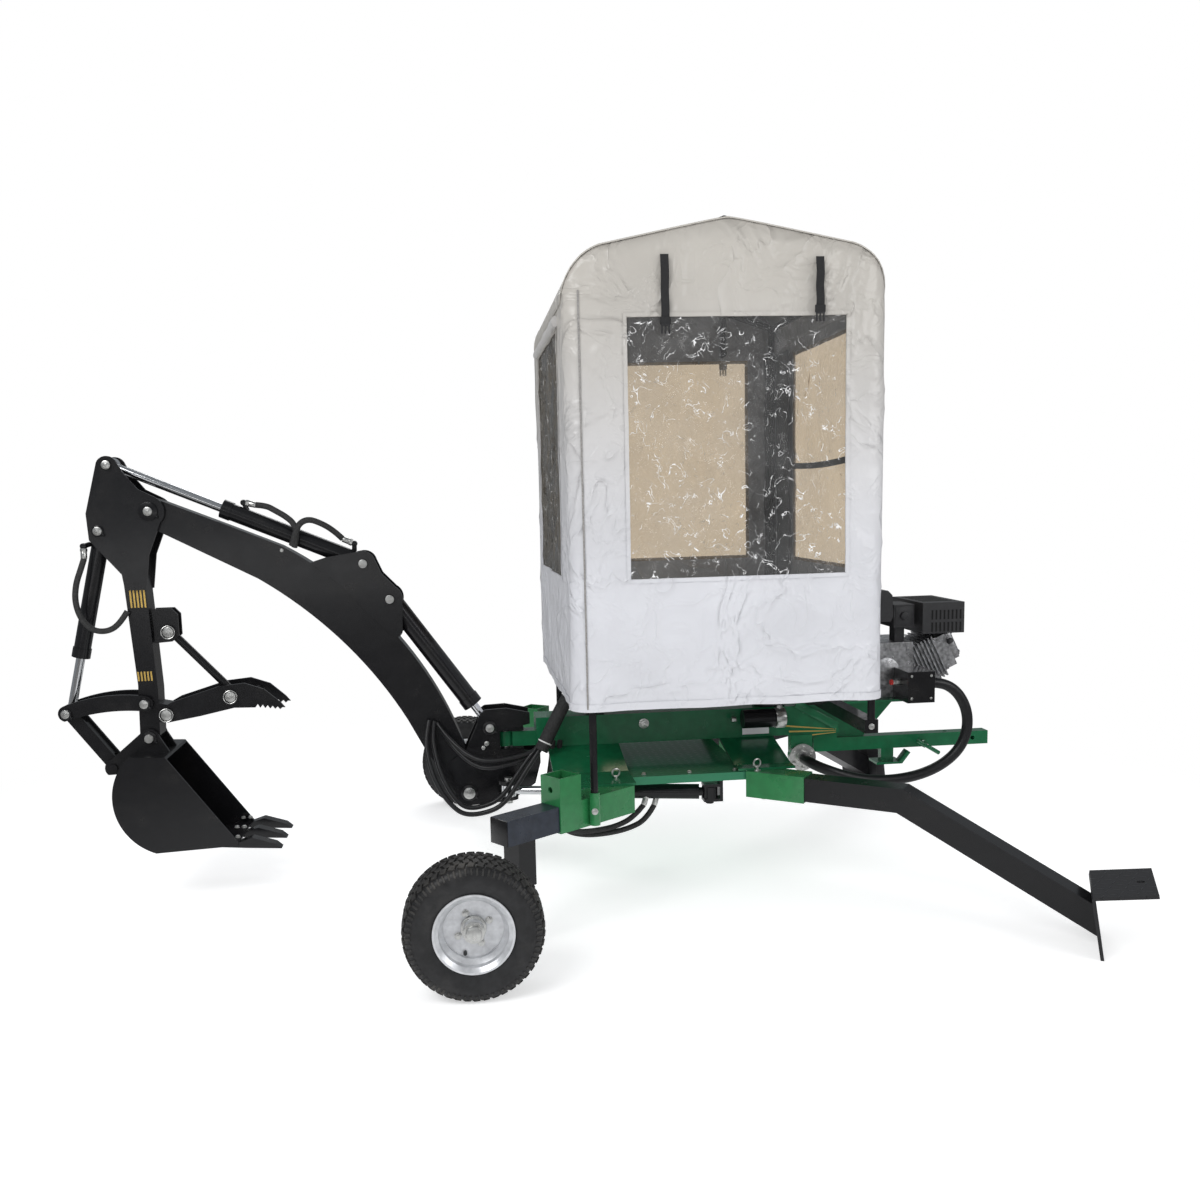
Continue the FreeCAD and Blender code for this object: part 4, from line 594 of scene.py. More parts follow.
def vinyl_finish(name, alpha, colour, painted_glint_strength=0.95, tint_through=(0.93, 0.93, 0.93)):
    """Clear soft sheet: mostly see-through, with a coated gloss and painted white highlight lines
    in patches.
    """
    material, kit, wires = fresh_material(name)
    shader = new_node(kit, "BsdfPrincipled", {"Base Color": (*colour, 1), "Roughness": 0.08,
                       "Specular IOR Level": 0.9, "Coat Weight": 1.0, "Coat Roughness": 0.05})
    place = new_node(kit, "TexCoord")
    haze = new_node(kit, "TexNoise", {"Scale": 5, "Detail": 6})
    span = new_node(kit, "MapRange", {"To Min": alpha - 0.16, "To Max": alpha + 0.16})
    fine = new_node(kit, "TexNoise", {"Scale": 11, "Detail": 4, "Distortion": 1.2})
    relief = new_node(kit, "Bump", {"Strength": 1.0, "Distance": 0.024})
    out = new_node(kit, "OutputMaterial")
    wires.new(place.outputs["Object"], haze.inputs["Vector"])
    wires.new(haze.outputs["Fac"], span.inputs["Value"])
    # Painted highlights: in patches, thin lines along a noise's crests turn the colour white and
    # the sheet opaque, standing in for glints on sharp wrinkles
    streak = new_node(kit, "TexNoise", {"Scale": 15, "Detail": 3, "Distortion": 1.4})
    crest = new_node(kit, "Math", {1: 0.5}, operation="PINGPONG")
    line = new_node(kit, "MapRange", {"From Min": 0.486, "From Max": 0.497},
                    interpolation_type="SMOOTHSTEP")
    patch = new_node(kit, "TexNoise", {"Scale": 26, "Detail": 2})
    where = new_node(kit, "MapRange", {"From Min": 0.47, "From Max": 0.58, "To Max": painted_glint_strength})
    painted_glint_mask = new_node(kit, "Math", operation="MULTIPLY")
    for wave in (streak, patch):
        wires.new(place.outputs["Object"], wave.inputs["Vector"])
    wires.new(streak.outputs["Fac"], crest.inputs[0])
    wires.new(crest.outputs[0], line.inputs["Value"])
    wires.new(patch.outputs["Fac"], where.inputs["Value"])
    wires.new(line.outputs[0], painted_glint_mask.inputs[0])
    wires.new(where.outputs[0], painted_glint_mask.inputs[1])
    seen = new_node(kit, "Math", operation="MAXIMUM")
    wires.new(span.outputs[0], seen.inputs[0])
    wires.new(painted_glint_mask.outputs[0], seen.inputs[1])
    through = new_node(kit, "BsdfTransparent", {"Color": (*tint_through, 1)})
    sheet_mix = new_node(kit, "MixShader")
    wires.new(seen.outputs[0], sheet_mix.inputs[0])
    wires.new(through.outputs[0], sheet_mix.inputs[1])
    wires.new(shader.outputs[0], sheet_mix.inputs[2])
    tint = new_node(kit, "Mix", {"A": (*colour, 1), "B": (0.95, 0.95, 0.95, 1)}, data_type="RGBA")
    wires.new(painted_glint_mask.outputs[0], tint.inputs[0])
    wires.new(tint.outputs["Result"], shader.inputs["Base Color"])
    wires.new(place.outputs["Object"], fine.inputs["Vector"])
    wires.new(fine.outputs["Fac"], relief.inputs["Height"])
    wires.new(relief.outputs[0], shader.inputs["Normal"])
    wires.new(relief.outputs[0], shader.inputs["Coat Normal"])
    wires.new(sheet_mix.outputs[0], out.inputs[0])
    return material


# The number after each pane's colour sets the strength of its painted white highlight lines; the
# near pane keeps the default
VINYL = {
    "near": vinyl_finish("clear_vinyl", 0.14, (0.42, 0.42, 0.42)),
    "drawbar_end": vinyl_finish("amber_vinyl", 0.34, (0.64, 0.50, 0.33), 0.7,
                                (0.74, 0.61, 0.44)),
    "far": vinyl_finish("pale_amber_vinyl", 0.34, (0.66, 0.52, 0.34), 0.7, (0.74, 0.61, 0.44)),
    "boom_end": vinyl_finish("smoky_vinyl", 0.55, (0.20, 0.18, 0.15), 0.9, (0.6, 0.55, 0.48)),
}

# %% [markdown]
# The cut wall becomes a piece 2 mm thick. The roof is a second sheet with the same plan, its ends
# rolled over round shoulders.

# %% Walls and roof
def thicken_with_painted_shade_inside(piece):
    """Give a sheet its 2 mm, with a dark painted shade colour on its inner side."""
    piece.data.materials.append(canvas_inner_painted_shade)
    thick = piece.modifiers.new("thickness", "SOLIDIFY")
    thick.material_offset = 1
    thick.thickness = 0.002
    thick.offset = -1


cloth_walls = to_piece(walls, "canvas_walls", canvas_paint)
thicken_with_painted_shade_inside(cloth_walls)
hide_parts("canvas_near", "canvas_far", "canvas_boom_end", "canvas_drawbar_end")

ROOF_COLUMNS, ROOF_ROWS = 96, 90
roof = flat_sheet(ROOF_COLUMNS, ROOF_ROWS, -1, 1, -1, 1)
for v in roof.verts:
    across, depth = v.co.x, v.co.z
    # The columns crowd towards both ends, where the shoulders turn
    share = math.copysign(1 - (1 - abs(across)) ** 1.7, across) if across else 0.0
    x = (CABIN_LEFT + CABIN_RIGHT) / 2 + share * (CABIN_RIGHT - CABIN_LEFT) / 2
    inward = min(x - CABIN_LEFT, CABIN_RIGHT - x)
    half = CABIN_HALF
    if inward < CORNER:
        half -= CORNER - math.sqrt(max(CORNER ** 2 - (CORNER - inward) ** 2, 0))
    y = depth * half
    sag = noise.noise(Vector((x * 3, y * 3, 1))) * 0.006 - 0.006
    ease = min(1.0, inward / 0.15) * min(1.0, (1 - abs(depth)) / 0.12)
    v.co = Vector((x, y, roof_height(x) + sag * ease - 0.001))
cloth_roof = to_piece(roof, "canvas_roof_sheet", canvas_paint)
thicken_with_painted_shade_inside(cloth_roof)
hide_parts("canvas_roof")


# %% [markdown]
# Seams, bindings, zips and straps are ribbons that follow the cloth. One helper sweeps a flat
# band along points, given which way is out.

# %% Ribbons along the cloth
def add_ribbon(mesh, points, outs, half_width, thick, closed=False):
    """Flat band centred on points, thick along its outward directions."""
    rings = []
    count = len(points)
    for i, (point, outward) in enumerate(zip(points, outs)):
        before = points[i - 1] if closed or i else points[0]
        after = points[(i + 1) % count] if closed or i + 1 < count else points[-1]
        ahead = (after - before).normalized()
        side = ahead.cross(outward).normalized()
        low, high = outward * -thick / 2, outward * thick / 2
        rings.append([mesh.verts.new(point + side * half_width * s + up)
                      for s, up in ((-1, low), (1, low), (1, high), (-1, high))])
    last = count if closed else count - 1
    for i in range(last):
        a, b = rings[i], rings[(i + 1) % count]
        for k in range(4):
            mesh.faces.new((a[k], a[(k + 1) % 4], b[(k + 1) % 4], b[k]))
    if not closed:
        mesh.faces.new(rings[0])
        mesh.faces.new(reversed(rings[-1]))


def wall_out(along):
    outward = plan_point(along)[1]
    return Vector((outward.x, outward.y, 0))


def wall_line(flat_points, lift):
    """Points on the wall and their outward directions."""
    places = [wall_place(along, height, lift) for along, height in flat_points]
    return places, [wall_out(along) for along, _ in flat_points]


trim = bmesh.new()
steps = 260
hem_line = [(AROUND * i / steps, HEM + 0.012) for i in range(steps)]
add_ribbon(trim, *wall_line(hem_line, 0.0005), 0.012, 0.0015, closed=True)
eave_line = [(AROUND * i / steps, 1.985) for i in range(steps)]
eave_places, eave_outs = [], []
for along, _ in eave_line:
    point, outward = plan_point(along)
    eave_places.append(Vector((point.x, point.y, roof_height(point.x) - 0.004))
                       + Vector((outward.x, outward.y, 0)) * 0.001)
    eave_outs.append(Vector((outward.x, outward.y, 0)))
add_ribbon(trim, eave_places, eave_outs, 0.0016, 0.002, closed=True)
for start, end in WINDOWS:
    frame_line = []
    for a, b, n in (((start, WINDOW_LOW), (end, WINDOW_LOW), 24),
                    ((end, WINDOW_LOW), (end, WINDOW_HIGH), 28),
                    ((end, WINDOW_HIGH), (start, WINDOW_HIGH), 24),
                    ((start, WINDOW_HIGH), (start, WINDOW_LOW), 28)):
        frame_line += [(a[0] + (b[0] - a[0]) * i / n, a[1] + (b[1] - a[1]) * i / n)
                       for i in range(n)]
    # Drawn out a little, so that the binding lies on the cloth beside the opening
    middle = ((start + end) / 2, (WINDOW_LOW + WINDOW_HIGH) / 2)
    frame_line = [(a + math.copysign(0.007, a - middle[0]), z + math.copysign(0.007, z - middle[1]))
                  for a, z in frame_line]
    add_ribbon(trim, *wall_line(frame_line, 0.0006), 0.006, 0.0010, closed=True)
binding = to_piece(trim, "canvas_bindings", canvas_paint)

zips = bmesh.new()
for along in (-0.012, LONG_SIDE + BEND + 0.02, FAR_START - BEND + 0.012, LEFT_START - 0.02):
    line = [(along % AROUND, HEM + 0.01 + (1.96 - HEM) * i / 60) for i in range(61)]
    add_ribbon(zips, *wall_line(line, 0.0010), 0.0028, 0.0014)
zip_lines = to_piece(zips, "cabin_zips", zip_tape)

# %% [markdown]
# Each window is its own wrinkled sheet behind its opening. Ridged noise folded with a second
# noise makes the sharp, star-like wrinkles of vinyl that was rolled up cold.

# %% Vinyl windows
PANE_LAP = 0.012


def vinyl_wrinkle(along, height, strength):
    u, v = along * 4.2, height * 4.2
    warp = noise.noise(Vector((u * 0.6, v * 0.6, 7))) * 1.6
    ridge = 1 - abs(noise.noise(Vector((u + warp, v * 0.8 - warp, 2))))
    fine = 1 - abs(noise.noise(Vector((u * 2.3 - warp, v * 2.3, 5))))
    return (ridge ** 5 * 0.6 + fine ** 6 * 0.35) * strength


PANE_NAMES = ("near", "drawbar_end", "far", "boom_end")
for (start, end), side in zip(WINDOWS, PANE_NAMES):
    pane = flat_sheet(110, 120, start - PANE_LAP, end + PANE_LAP,
                      WINDOW_LOW - PANE_LAP, WINDOW_HIGH + PANE_LAP)
    for v in pane.verts:
        along, height = v.co.x, v.co.z
        rim = min(along - start, end - along, height - WINDOW_LOW, WINDOW_HIGH - height)
        calm = min(1.0, max(0.0, rim / 0.06))
        wrinkle = vinyl_wrinkle(along, height, 0.018) * calm
        v.co = wall_place(along, height, -0.0045 - wrinkle)
    sheet = to_piece(pane, "window_" + side, VINYL[side], smooth=0)
    sheet.data.shade_smooth()
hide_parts("cabin_windows")

# %% [markdown]
# Short webbing straps with two-prong buckles hang from the roof's edge, ready to hold a
# rolled-up side. A rolled flap lies above the boom-end window.

# %% Straps, buckles and the rolled flap
STRAPS = (
    # along the walls, top, bottom
    (0.319 - CABIN_LEFT - CORNER, 2.085, 1.855),
    (0.795 - CABIN_LEFT - CORNER, 2.075, 1.885),
    (FAR_START + LONG_SIDE - (0.319 - CABIN_LEFT - CORNER), 2.085, 1.86),
    (FAR_START + LONG_SIDE - (0.795 - CABIN_LEFT - CORNER), 2.070, 1.86),
)
straps, prongs = bmesh.new(), bmesh.new()
for along, top, low in STRAPS:
    line = [(along, low + 0.045 + (top - low - 0.045) * i / 16) for i in range(17)]
    places, outs = [], []
    for i, (a, z) in enumerate(line):
        point = plan_point(a)[0]
        outward = wall_out(a)
        bow = 0.013 + 0.003 * math.sin(i * 0.7)
        places.append(Vector((point.x, point.y, z)) + outward * (bow + 0.002))
        outs.append(outward)
    add_ribbon(straps, places, outs, 0.0125, 0.0015)
    base = places[0]
    add_block(straps, base + Vector((0, 0, -0.008)), (0.032, 0.007, 0.022), edge=0.0015)
    for shift in (-0.011, 0.0, 0.011):
        add_block(prongs, base + Vector((shift, 0, -0.032)), (0.0055, 0.004, 0.028), edge=0.001)
    add_block(prongs, base + Vector((0, 0, -0.020)), (0.028, 0.006, 0.006), edge=0.001)
# Dark flaps and ties inside, seen through the near window
inner = bmesh.new()
for along, half, low, top in ((FAR_START - 0.030, 0.0230, 0.95, 1.93),
                              (RIGHT_START + SHORT_SIDE - 0.045, 0.0950, 0.95, 1.93),
                              (FAR_START + CABIN_RIGHT - CORNER - 0.790, 0.0110, 1.93, 2.00)):
    line = [(along + 0.003 * math.sin(i * 0.5), low + (top - low) * i / 40) for i in range(41)]
    add_ribbon(inner, *wall_line(line, -0.016), half, 0.0015)
tie_line = [(RIGHT_START + SHORT_SIDE - 0.200 - 0.68 * i / 30, 1.478 - 0.008 * math.sin(i / 9))
            for i in range(31)]
add_ribbon(inner, *wall_line(tie_line, -0.030), 0.0110, 0.0015)
inner_ties = to_piece(inner, "inner_flaps", webbing)
strap_set = to_piece(straps, "roof_straps", webbing)
prong_set = to_piece(prongs, "buckle_prongs", black_plastic)

roll = bmesh.new()
rows = 40
turns = 14
rings = []
for i in range(rows + 1):
    y = -0.40 + 0.80 * i / rows
    ring = []
    for k in range(turns):
        angle = 2 * math.pi * k / turns
        lump = noise.noise(Vector((y * 14, math.cos(angle), math.sin(angle))))
        radius = 0.017 * (1 + 0.18 * lump)
        ring.append(roll.verts.new((CABIN_LEFT - 0.004 + radius * math.cos(angle) * 0.7, y,
                                    1.928 + radius * math.sin(angle))))
    rings.append(ring)
for a, b in zip(rings, rings[1:]):
    for k in range(turns):
        roll.faces.new((a[k], a[(k + 1) % turns], b[(k + 1) % turns], b[k]))
roll.faces.new(rings[0])
roll.faces.new(reversed(rings[-1]))
flap = to_piece(roll, "rolled_flap", rolled_cloth)
print("straps:", len(STRAPS))

# %% [markdown]
# ## Hoses
# The suction hose is one stiff hose from the pump down to the flange below the beam. The hydraulic
# hoses hang in loops beside the kingpin, so that the boom can swing. A hose that crosses a joint is
# made in two lengths that meet on the swing post.

# %% Hose helper
def nurbs_route(name, points, radius):
    data = bpy.data.curves.new(name, "CURVE")
    data.dimensions = "3D"
    spline = data.splines.new("NURBS")
    spline.points.add(len(points) - 1)
    for place, point in zip(spline.points, points):
        place.co = (*point, 1)
    spline.order_u = 3
    spline.use_endpoint_u = True
    spline.resolution_u = 10
    data.bevel_depth = radius
    data.bevel_resolution = 5
    data.use_fill_caps = True
    return bpy.data.objects.new(name, data)


def add_hose(name, points, radius, body, material=None, ends=None):
    """Hose as a mesh along a smooth route."""
    line = nurbs_route(name + "_line", points, 0)
    path = [v.co.copy() for v in bpy.data.meshes.new_from_object(line).vertices]
    tube = nurbs_route(name + "_tube", points, radius)
    data = bpy.data.meshes.new_from_object(tube)
    data.name = name
    data.materials.clear()
    data.materials.append(material or hose_rubber)
    data.shade_smooth()
    piece = bpy.data.objects.new(name, data)
    bpy.context.scene.collection.objects.link(piece)
    if ends:
        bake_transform(piece)
    else:
        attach(piece, body)
    bpy.data.objects.remove(line)
    bpy.data.objects.remove(tube)
    return piece


# %% [markdown]
# The suction hose leaves the pump level, bends down with its own stiffness and comes up again
# to the flange beside the beam.

# %% Suction hose
SUCTION = [
    (1.3294, -0.205, 0.684), (1.3804, -0.205, 0.684), (1.4404, -0.205, 0.650),
    (1.4794, -0.205, 0.582), (1.4844, -0.205, 0.505), (1.4544, -0.205, 0.434),
    (1.3924, -0.204, 0.380), (1.3104, -0.202, 0.346), (1.2204, -0.198, 0.331),
    (1.1254, -0.194, 0.332), (1.0424, -0.191, 0.350), (0.9824, -0.190, 0.372),
    (0.9354, -0.174, 0.390), (0.9114, -0.140, 0.402), (0.9114, -0.100, 0.402),
]
suction = add_hose("suction_hose_rubber", SUCTION, 0.019, "chassis")
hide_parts("suction_hose")

# %% [markdown]
# Route of each hydraulic hose: from the sleeve under the cabin down to the swing post, and from
# there up into the boom. The last point of one length is the first of the next.

# %% Hydraulic hoses at the kingpin
sleeve_end = (-0.050, -0.138, 0.512)
LOOPS = (
    # chassis to swing post, swing post to boom, hose radius
    ([sleeve_end, (-0.094, -0.160, 0.458), (-0.140, -0.178, 0.395), (-0.185, -0.190, 0.332),
      (-0.235, -0.192, 0.293), (-0.285, -0.192, 0.286)],
     [(-0.285, -0.192, 0.286), (-0.335, -0.192, 0.279), (-0.390, -0.178, 0.322),
      (-0.436, -0.150, 0.392), (-0.462, -0.110, 0.478), (-0.466, -0.078, 0.545),
      (-0.452, -0.056, 0.600)], 0.0085),
    ([(-0.056, -0.130, 0.520), (-0.104, -0.150, 0.470), (-0.150, -0.164, 0.412),
      (-0.194, -0.174, 0.350), (-0.240, -0.176, 0.314), (-0.285, -0.176, 0.306)],
     [(-0.285, -0.176, 0.306), (-0.330, -0.176, 0.298), (-0.376, -0.160, 0.342),
      (-0.414, -0.128, 0.410), (-0.436, -0.092, 0.490), (-0.442, -0.068, 0.548),
      (-0.434, -0.054, 0.596)], 0.0085),
    ([(-0.058, -0.134, 0.505), (-0.098, -0.146, 0.484), (-0.150, -0.152, 0.472),
      (-0.200, -0.154, 0.466)],
     [(-0.200, -0.154, 0.466), (-0.258, -0.155, 0.460), (-0.320, -0.128, 0.482),
      (-0.372, -0.094, 0.524), (-0.408, -0.068, 0.564), (-0.424, -0.053, 0.588)], 0.0075),
    ([(-0.062, -0.124, 0.497), (-0.102, -0.138, 0.468), (-0.152, -0.148, 0.450),
      (-0.200, -0.152, 0.442)],
     [(-0.200, -0.152, 0.442), (-0.252, -0.154, 0.434), (-0.306, -0.130, 0.450),
      (-0.352, -0.098, 0.486), (-0.388, -0.070, 0.528), (-0.408, -0.053, 0.560)], 0.0075),
)
for number, (first, second, radius) in enumerate(LOOPS, 1):
    add_hose(f"loop_hose_{number}_post", first, radius, "chassis", ends="swing_post")
    add_hose(f"loop_hose_{number}_boom", second, radius, "swing_post", ends="boom")

# %% [markdown]
# A woven sleeve gathers the four hoses on their way up into the cabin, tied with a white band.

# %% Hose sleeve, tie and the hoses on the cylinders
sleeve_weave = finish("sleeve_weave", (0.022, 0.022, 0.022), 0.7, vary=0.4, grain=160, bump=0.9,
                      bump_scale=420, depth=0.002)
add_hose("loop_sleeve", [(-0.060, -0.140, 0.490), (-0.038, -0.134, 0.530),
                         (-0.006, -0.122, 0.588), (0.030, -0.108, 0.650),
                         (0.072, -0.088, 0.698), (0.124, -0.050, 0.742)], 0.0250, "chassis",
         sleeve_weave)
CROWD_HOSES = (
    [(-1.020, -0.004, 1.381), (-0.985, -0.008, 1.378), (-0.950, -0.020, 1.358),
     (-0.915, -0.036, 1.338), (-0.886, -0.048, 1.312), (-0.880, -0.050, 1.272),
     (-0.892, -0.040, 1.232)],
    [(-0.728, -0.004, 1.254), (-0.756, -0.010, 1.284), (-0.798, -0.026, 1.312),
     (-0.838, -0.040, 1.328), (-0.870, -0.050, 1.314), (-0.884, -0.054, 1.280),
     (-0.900, -0.042, 1.238)],
)
for number, points in enumerate(CROWD_HOSES, 1):
    add_hose(f"crowd_hose_{number}", points, 0.0105, "crowd_barrel", sleeve_weave, ends="boom")
add_hose("bucket_hose", [(-1.602, -0.040, 1.214), (-1.610, -0.056, 1.180),
                         (-1.628, -0.064, 1.130), (-1.634, -0.070, 1.070),
                         (-1.618, -0.074, 1.010), (-1.580, -0.075, 0.968),
                         (-1.530, -0.070, 0.964), (-1.492, -0.062, 0.990),
                         (-1.468, -0.052, 1.030)], 0.0100, "curl_barrel", sleeve_weave,
         ends="arm")
SWING_HOSES = (
    [(0.284, -0.264, 0.307), (0.248, -0.276, 0.270), (0.190, -0.276, 0.240),
     (0.120, -0.264, 0.224), (0.050, -0.240, 0.214), (-0.012, -0.212, 0.222),
     (-0.046, -0.172, 0.262), (-0.040, -0.122, 0.350), (-0.020, -0.086, 0.440),
     (-0.010, -0.056, 0.505)],
    [(0.322, -0.260, 0.304), (0.292, -0.270, 0.256), (0.230, -0.268, 0.226),
     (0.156, -0.254, 0.208), (0.080, -0.230, 0.198), (0.014, -0.196, 0.206),
     (-0.020, -0.156, 0.250), (-0.014, -0.116, 0.350), (0.006, -0.084, 0.440),
     (0.016, -0.056, 0.505)],
)
for number, points in enumerate(SWING_HOSES, 1):
    add_hose(f"swing_hose_{number}", points, 0.0095, "swing_barrel", sleeve_weave,
             ends="chassis")

# %% [markdown]
# ## Pins, washers and bolts
# Every pivot ends in a bright pin with a chamfer, set in a black collar that keeps it in place.
# The thumb's three pins have a wire ring through their end, so that they pull out by hand.

# %% Pivot ends
PIVOTS = (
    # body, X, Z, outer face of the plate, pin radius, collar radius
    ("swing_post", -0.3186, 0.326, 0.054, 0.0200, 0.030),
    ("swing_post", -0.2366, 0.562, 0.054, 0.0140, 0.026),
    ("boom", -0.5716, 1.039, 0.050, 0.0140, 0.0),
    ("boom", -0.6586, 1.167, 0.050, 0.0140, 0.0),
    ("boom", -1.3736, 1.369, 0.053, 0.0140, 0.032),
    ("arm", -1.4996, 1.529, 0.053, 0.0140, 0.0),
    ("arm", -1.5446, 1.307, 0.053, 0.0140, 0.020),
    ("arm", -1.4266, 0.581, 0.055, 0.0140, 0.026),
    ("arm", -1.4336, 0.704, 0.059, 0.0140, 0.021),
    ("guide_link", -1.6996, 0.681, 0.059, 0.0140, 0.020),
)
caps, collars = {}, {}
for body, x, z, face, pin, collar in PIVOTS:
    cap = caps.setdefault(body, bmesh.new())
    ring = collars.setdefault(body, bmesh.new())
    for side in (-1, 1):
        add_round(cap, Vector((x, side * (face + 0.0075), z)), (0, side, 0), pin + 0.0012, 0.006,
                  32, 0.0016)
        add_round(cap, Vector((x, side * (face + 0.0108), z)), (0, side, 0), pin * 0.42, 0.0012,
                  20, 0.0003)
        if collar:
            add_round(ring, Vector((x, side * (face + 0.0028), z)), (0, side, 0), collar,
                      0.0056, 36, 0.0012)
            # Grease nipple and its boss on the collar's rim
            lean = Vector((math.cos(-0.6), 0, math.sin(-0.6)))
            add_round(ring, Vector((x, side * (face + 0.003), z)) + lean * (collar + 0.003), lean,
                      0.0045, 0.008, 12, 0.0006)
for body in caps:
    to_piece(caps[body], "pin_ends_" + body, zinc, body)
    to_piece(collars[body], "pin_collars_" + body, black_paint, body)


# %% [markdown]
# A wire ring is a small circle swept round a large one.

# %% Ring pins and round bars bent into rings
def add_ring(mesh, centre, normal, radius, wire, around=28, section=8):
    """Closed round wire ring."""
    frame = Matrix.Translation(centre) @ turn_to(normal)
    rings = []
    for i in range(around):
        turn = 2 * math.pi * i / around
        ring = []
        for k in range(section):
            lean = 2 * math.pi * k / section
            out = radius + wire * math.cos(lean)
            ring.append(mesh.verts.new(frame @ Vector((out * math.cos(turn),
                                                       out * math.sin(turn),
                                                       wire * math.sin(lean)))))
        rings.append(ring)
    for i, ring in enumerate(rings):
        after = rings[(i + 1) % around]
        for k in range(section):
            mesh.faces.new((ring[k], ring[(k + 1) % section], after[(k + 1) % section],
                            after[k]))


thumb_pins = bmesh.new()
for x, z, face in ((-1.3566, 0.665, 0.0790), (-1.1356, 0.720, 0.0790), (-1.3416, 0.950, 0.0360)):
    for side in (-1, 1):
        add_round(thumb_pins, Vector((x, side * (face + 0.001), z)), (0, side, 0), 0.0185, 0.007,
                  32, 0.0015)
    add_ring(thumb_pins, Vector((x, -face - 0.006, z)), (0.12, -1, 0.1), 0.0225, 0.0016)
to_piece(thumb_pins, "thumb_pin_rings", zinc, "arm")

# %% [markdown]
# Bolts hold the legs, the deck, the brackets and the bucket's teeth. A table lists where each
# head sits, the way it points and its size across.

# %% Bolts
BOLTS = (
    # body, face, axis, half width of the head
    ("chassis", (0.068, -0.6365, 0.400), (0, -1, 0), 0.0085),
    ("chassis", (0.068, 0.6365, 0.400), (0, 1, 0), 0.0085),
    ("swing_post", (-0.250, -0.0540, 0.505), (0, -1, 0), 0.0070),
    ("swing_post", (-0.262, -0.0540, 0.490), (0, -1, 0), 0.0060),
    ("boom", (-0.936, -0.0395, 1.222), (0, -1, 0), 0.0050),
)
bolt_sets = {}
for body, face, axis, size in BOLTS:
    add_bolt(bolt_sets.setdefault(body, bmesh.new()), face, axis, size)
flange_x, flange_z = 0.9114, 0.402
for i in range(6):
    angle = math.radians(30 + 60 * i)
    add_bolt(bolt_sets["chassis"], (flange_x + 0.038 * math.cos(angle), -0.0820,
                                    flange_z + 0.038 * math.sin(angle)), (0, -1, 0), 0.0065)
for x, y in ((1.035, -0.150), (1.035, 0.110), (1.290, -0.150), (1.290, 0.110)):
    add_bolt(bolt_sets["chassis"], (x, y, 0.6240), (0, 0, 1), 0.0075)
for side in (-1, 1):
    for x in (0.600, 0.440, 0.280):
        add_bolt(bolt_sets["chassis"], (x, side * 0.300, 0.4240), (0, 0, 1), 0.0070)
for body, mesh in bolt_sets.items():
    to_piece(mesh, "bolts_" + body, zinc, body)

tooth_bolts = bmesh.new()
for y in (-0.122, 0.0, 0.122):
    for step in (0.0, 0.026):
        add_bolt(tooth_bolts, (-1.160 + step, y + 0.0, 0.2275), (0.1, 0, 1), 0.0075)
to_piece(tooth_bolts, "tooth_bolts", zinc, "bucket")

# %% [markdown]
# ## Stripes and bare labels
# The gold bars on the arm and the stripes on the beam are film, cut as thin plates that stand
# a tenth of a millimetre proud. The places where lettering would be are left bare.

# %% Film stripes
def add_film(mesh, corners, y):
    """Thin plate on a face at Y, from (X, Z) corners in order."""
    out = -0.00015
    back = [mesh.verts.new((x, y, z)) for x, z in corners]
    front = [mesh.verts.new((x, y + out, z)) for x, z in corners]
    mesh.faces.new(front)
    mesh.faces.new(list(reversed(back)))
    count = len(corners)
    for i in range(count):
        mesh.faces.new((back[i], back[(i + 1) % count], front[(i + 1) % count], front[i]))


arm_gold = bmesh.new()
for top, low in (((-1.4620, 1.1010, -1.4040), (-1.4600, 1.0400, -1.4020)),
                 ((-1.4560, 0.8160, -1.4010), (-1.4545, 0.7830, -1.3995))):
    for i in range(5):
        a, b = i / 5 + 0.03, i / 5 + 0.13
        left, z_top, right = top
        left_low, z_low, right_low = low
        add_film(arm_gold, (
            (left_low + (right_low - left_low) * a, z_low),
            (left_low + (right_low - left_low) * b, z_low),
            (left + (right - left) * b, z_top),
            (left + (right - left) * a, z_top)), -0.04305)
gold_bars = to_piece(arm_gold, "arm_gold_bars", gold_film, "arm", smooth=0)
beam_gold = bmesh.new()
for start_z, start_x in ((0.520, 0.851), (0.498, 0.866), (0.476, 0.880)):
    end_z = 0.486 + (start_z - 0.498) * 0.25
    add_film(beam_gold, ((start_x, start_z - 0.004), (1.045, end_z + 0.002 - 0.001 + 0.004),
                         (1.045, end_z + 0.006 + 0.001), (start_x, start_z + 0.002)), -0.06005)
beam_stripes = to_piece(beam_gold, "beam_stripes", gold_film, "chassis", smooth=0)
blank = bmesh.new()
add_film(blank, ((0.690, 0.530), (0.790, 0.530), (0.790, 0.545), (0.690, 0.545)), -0.06005)
label_top = to_piece(blank, "label_blue", blue_film, "chassis", smooth=0)
blank = bmesh.new()
add_film(blank, ((0.690, 0.494), (0.790, 0.494), (0.790, 0.5298), (0.690, 0.5298)), -0.06005)
label_low = to_piece(blank, "label_white", white_film, "chassis", smooth=0)

# %% [markdown]
# ## Tyres
# A low turf tyre: a rounded carcass spun about the axle, with five rows of small blocks that
# stagger from row to row. The grooves between the blocks show the carcass.

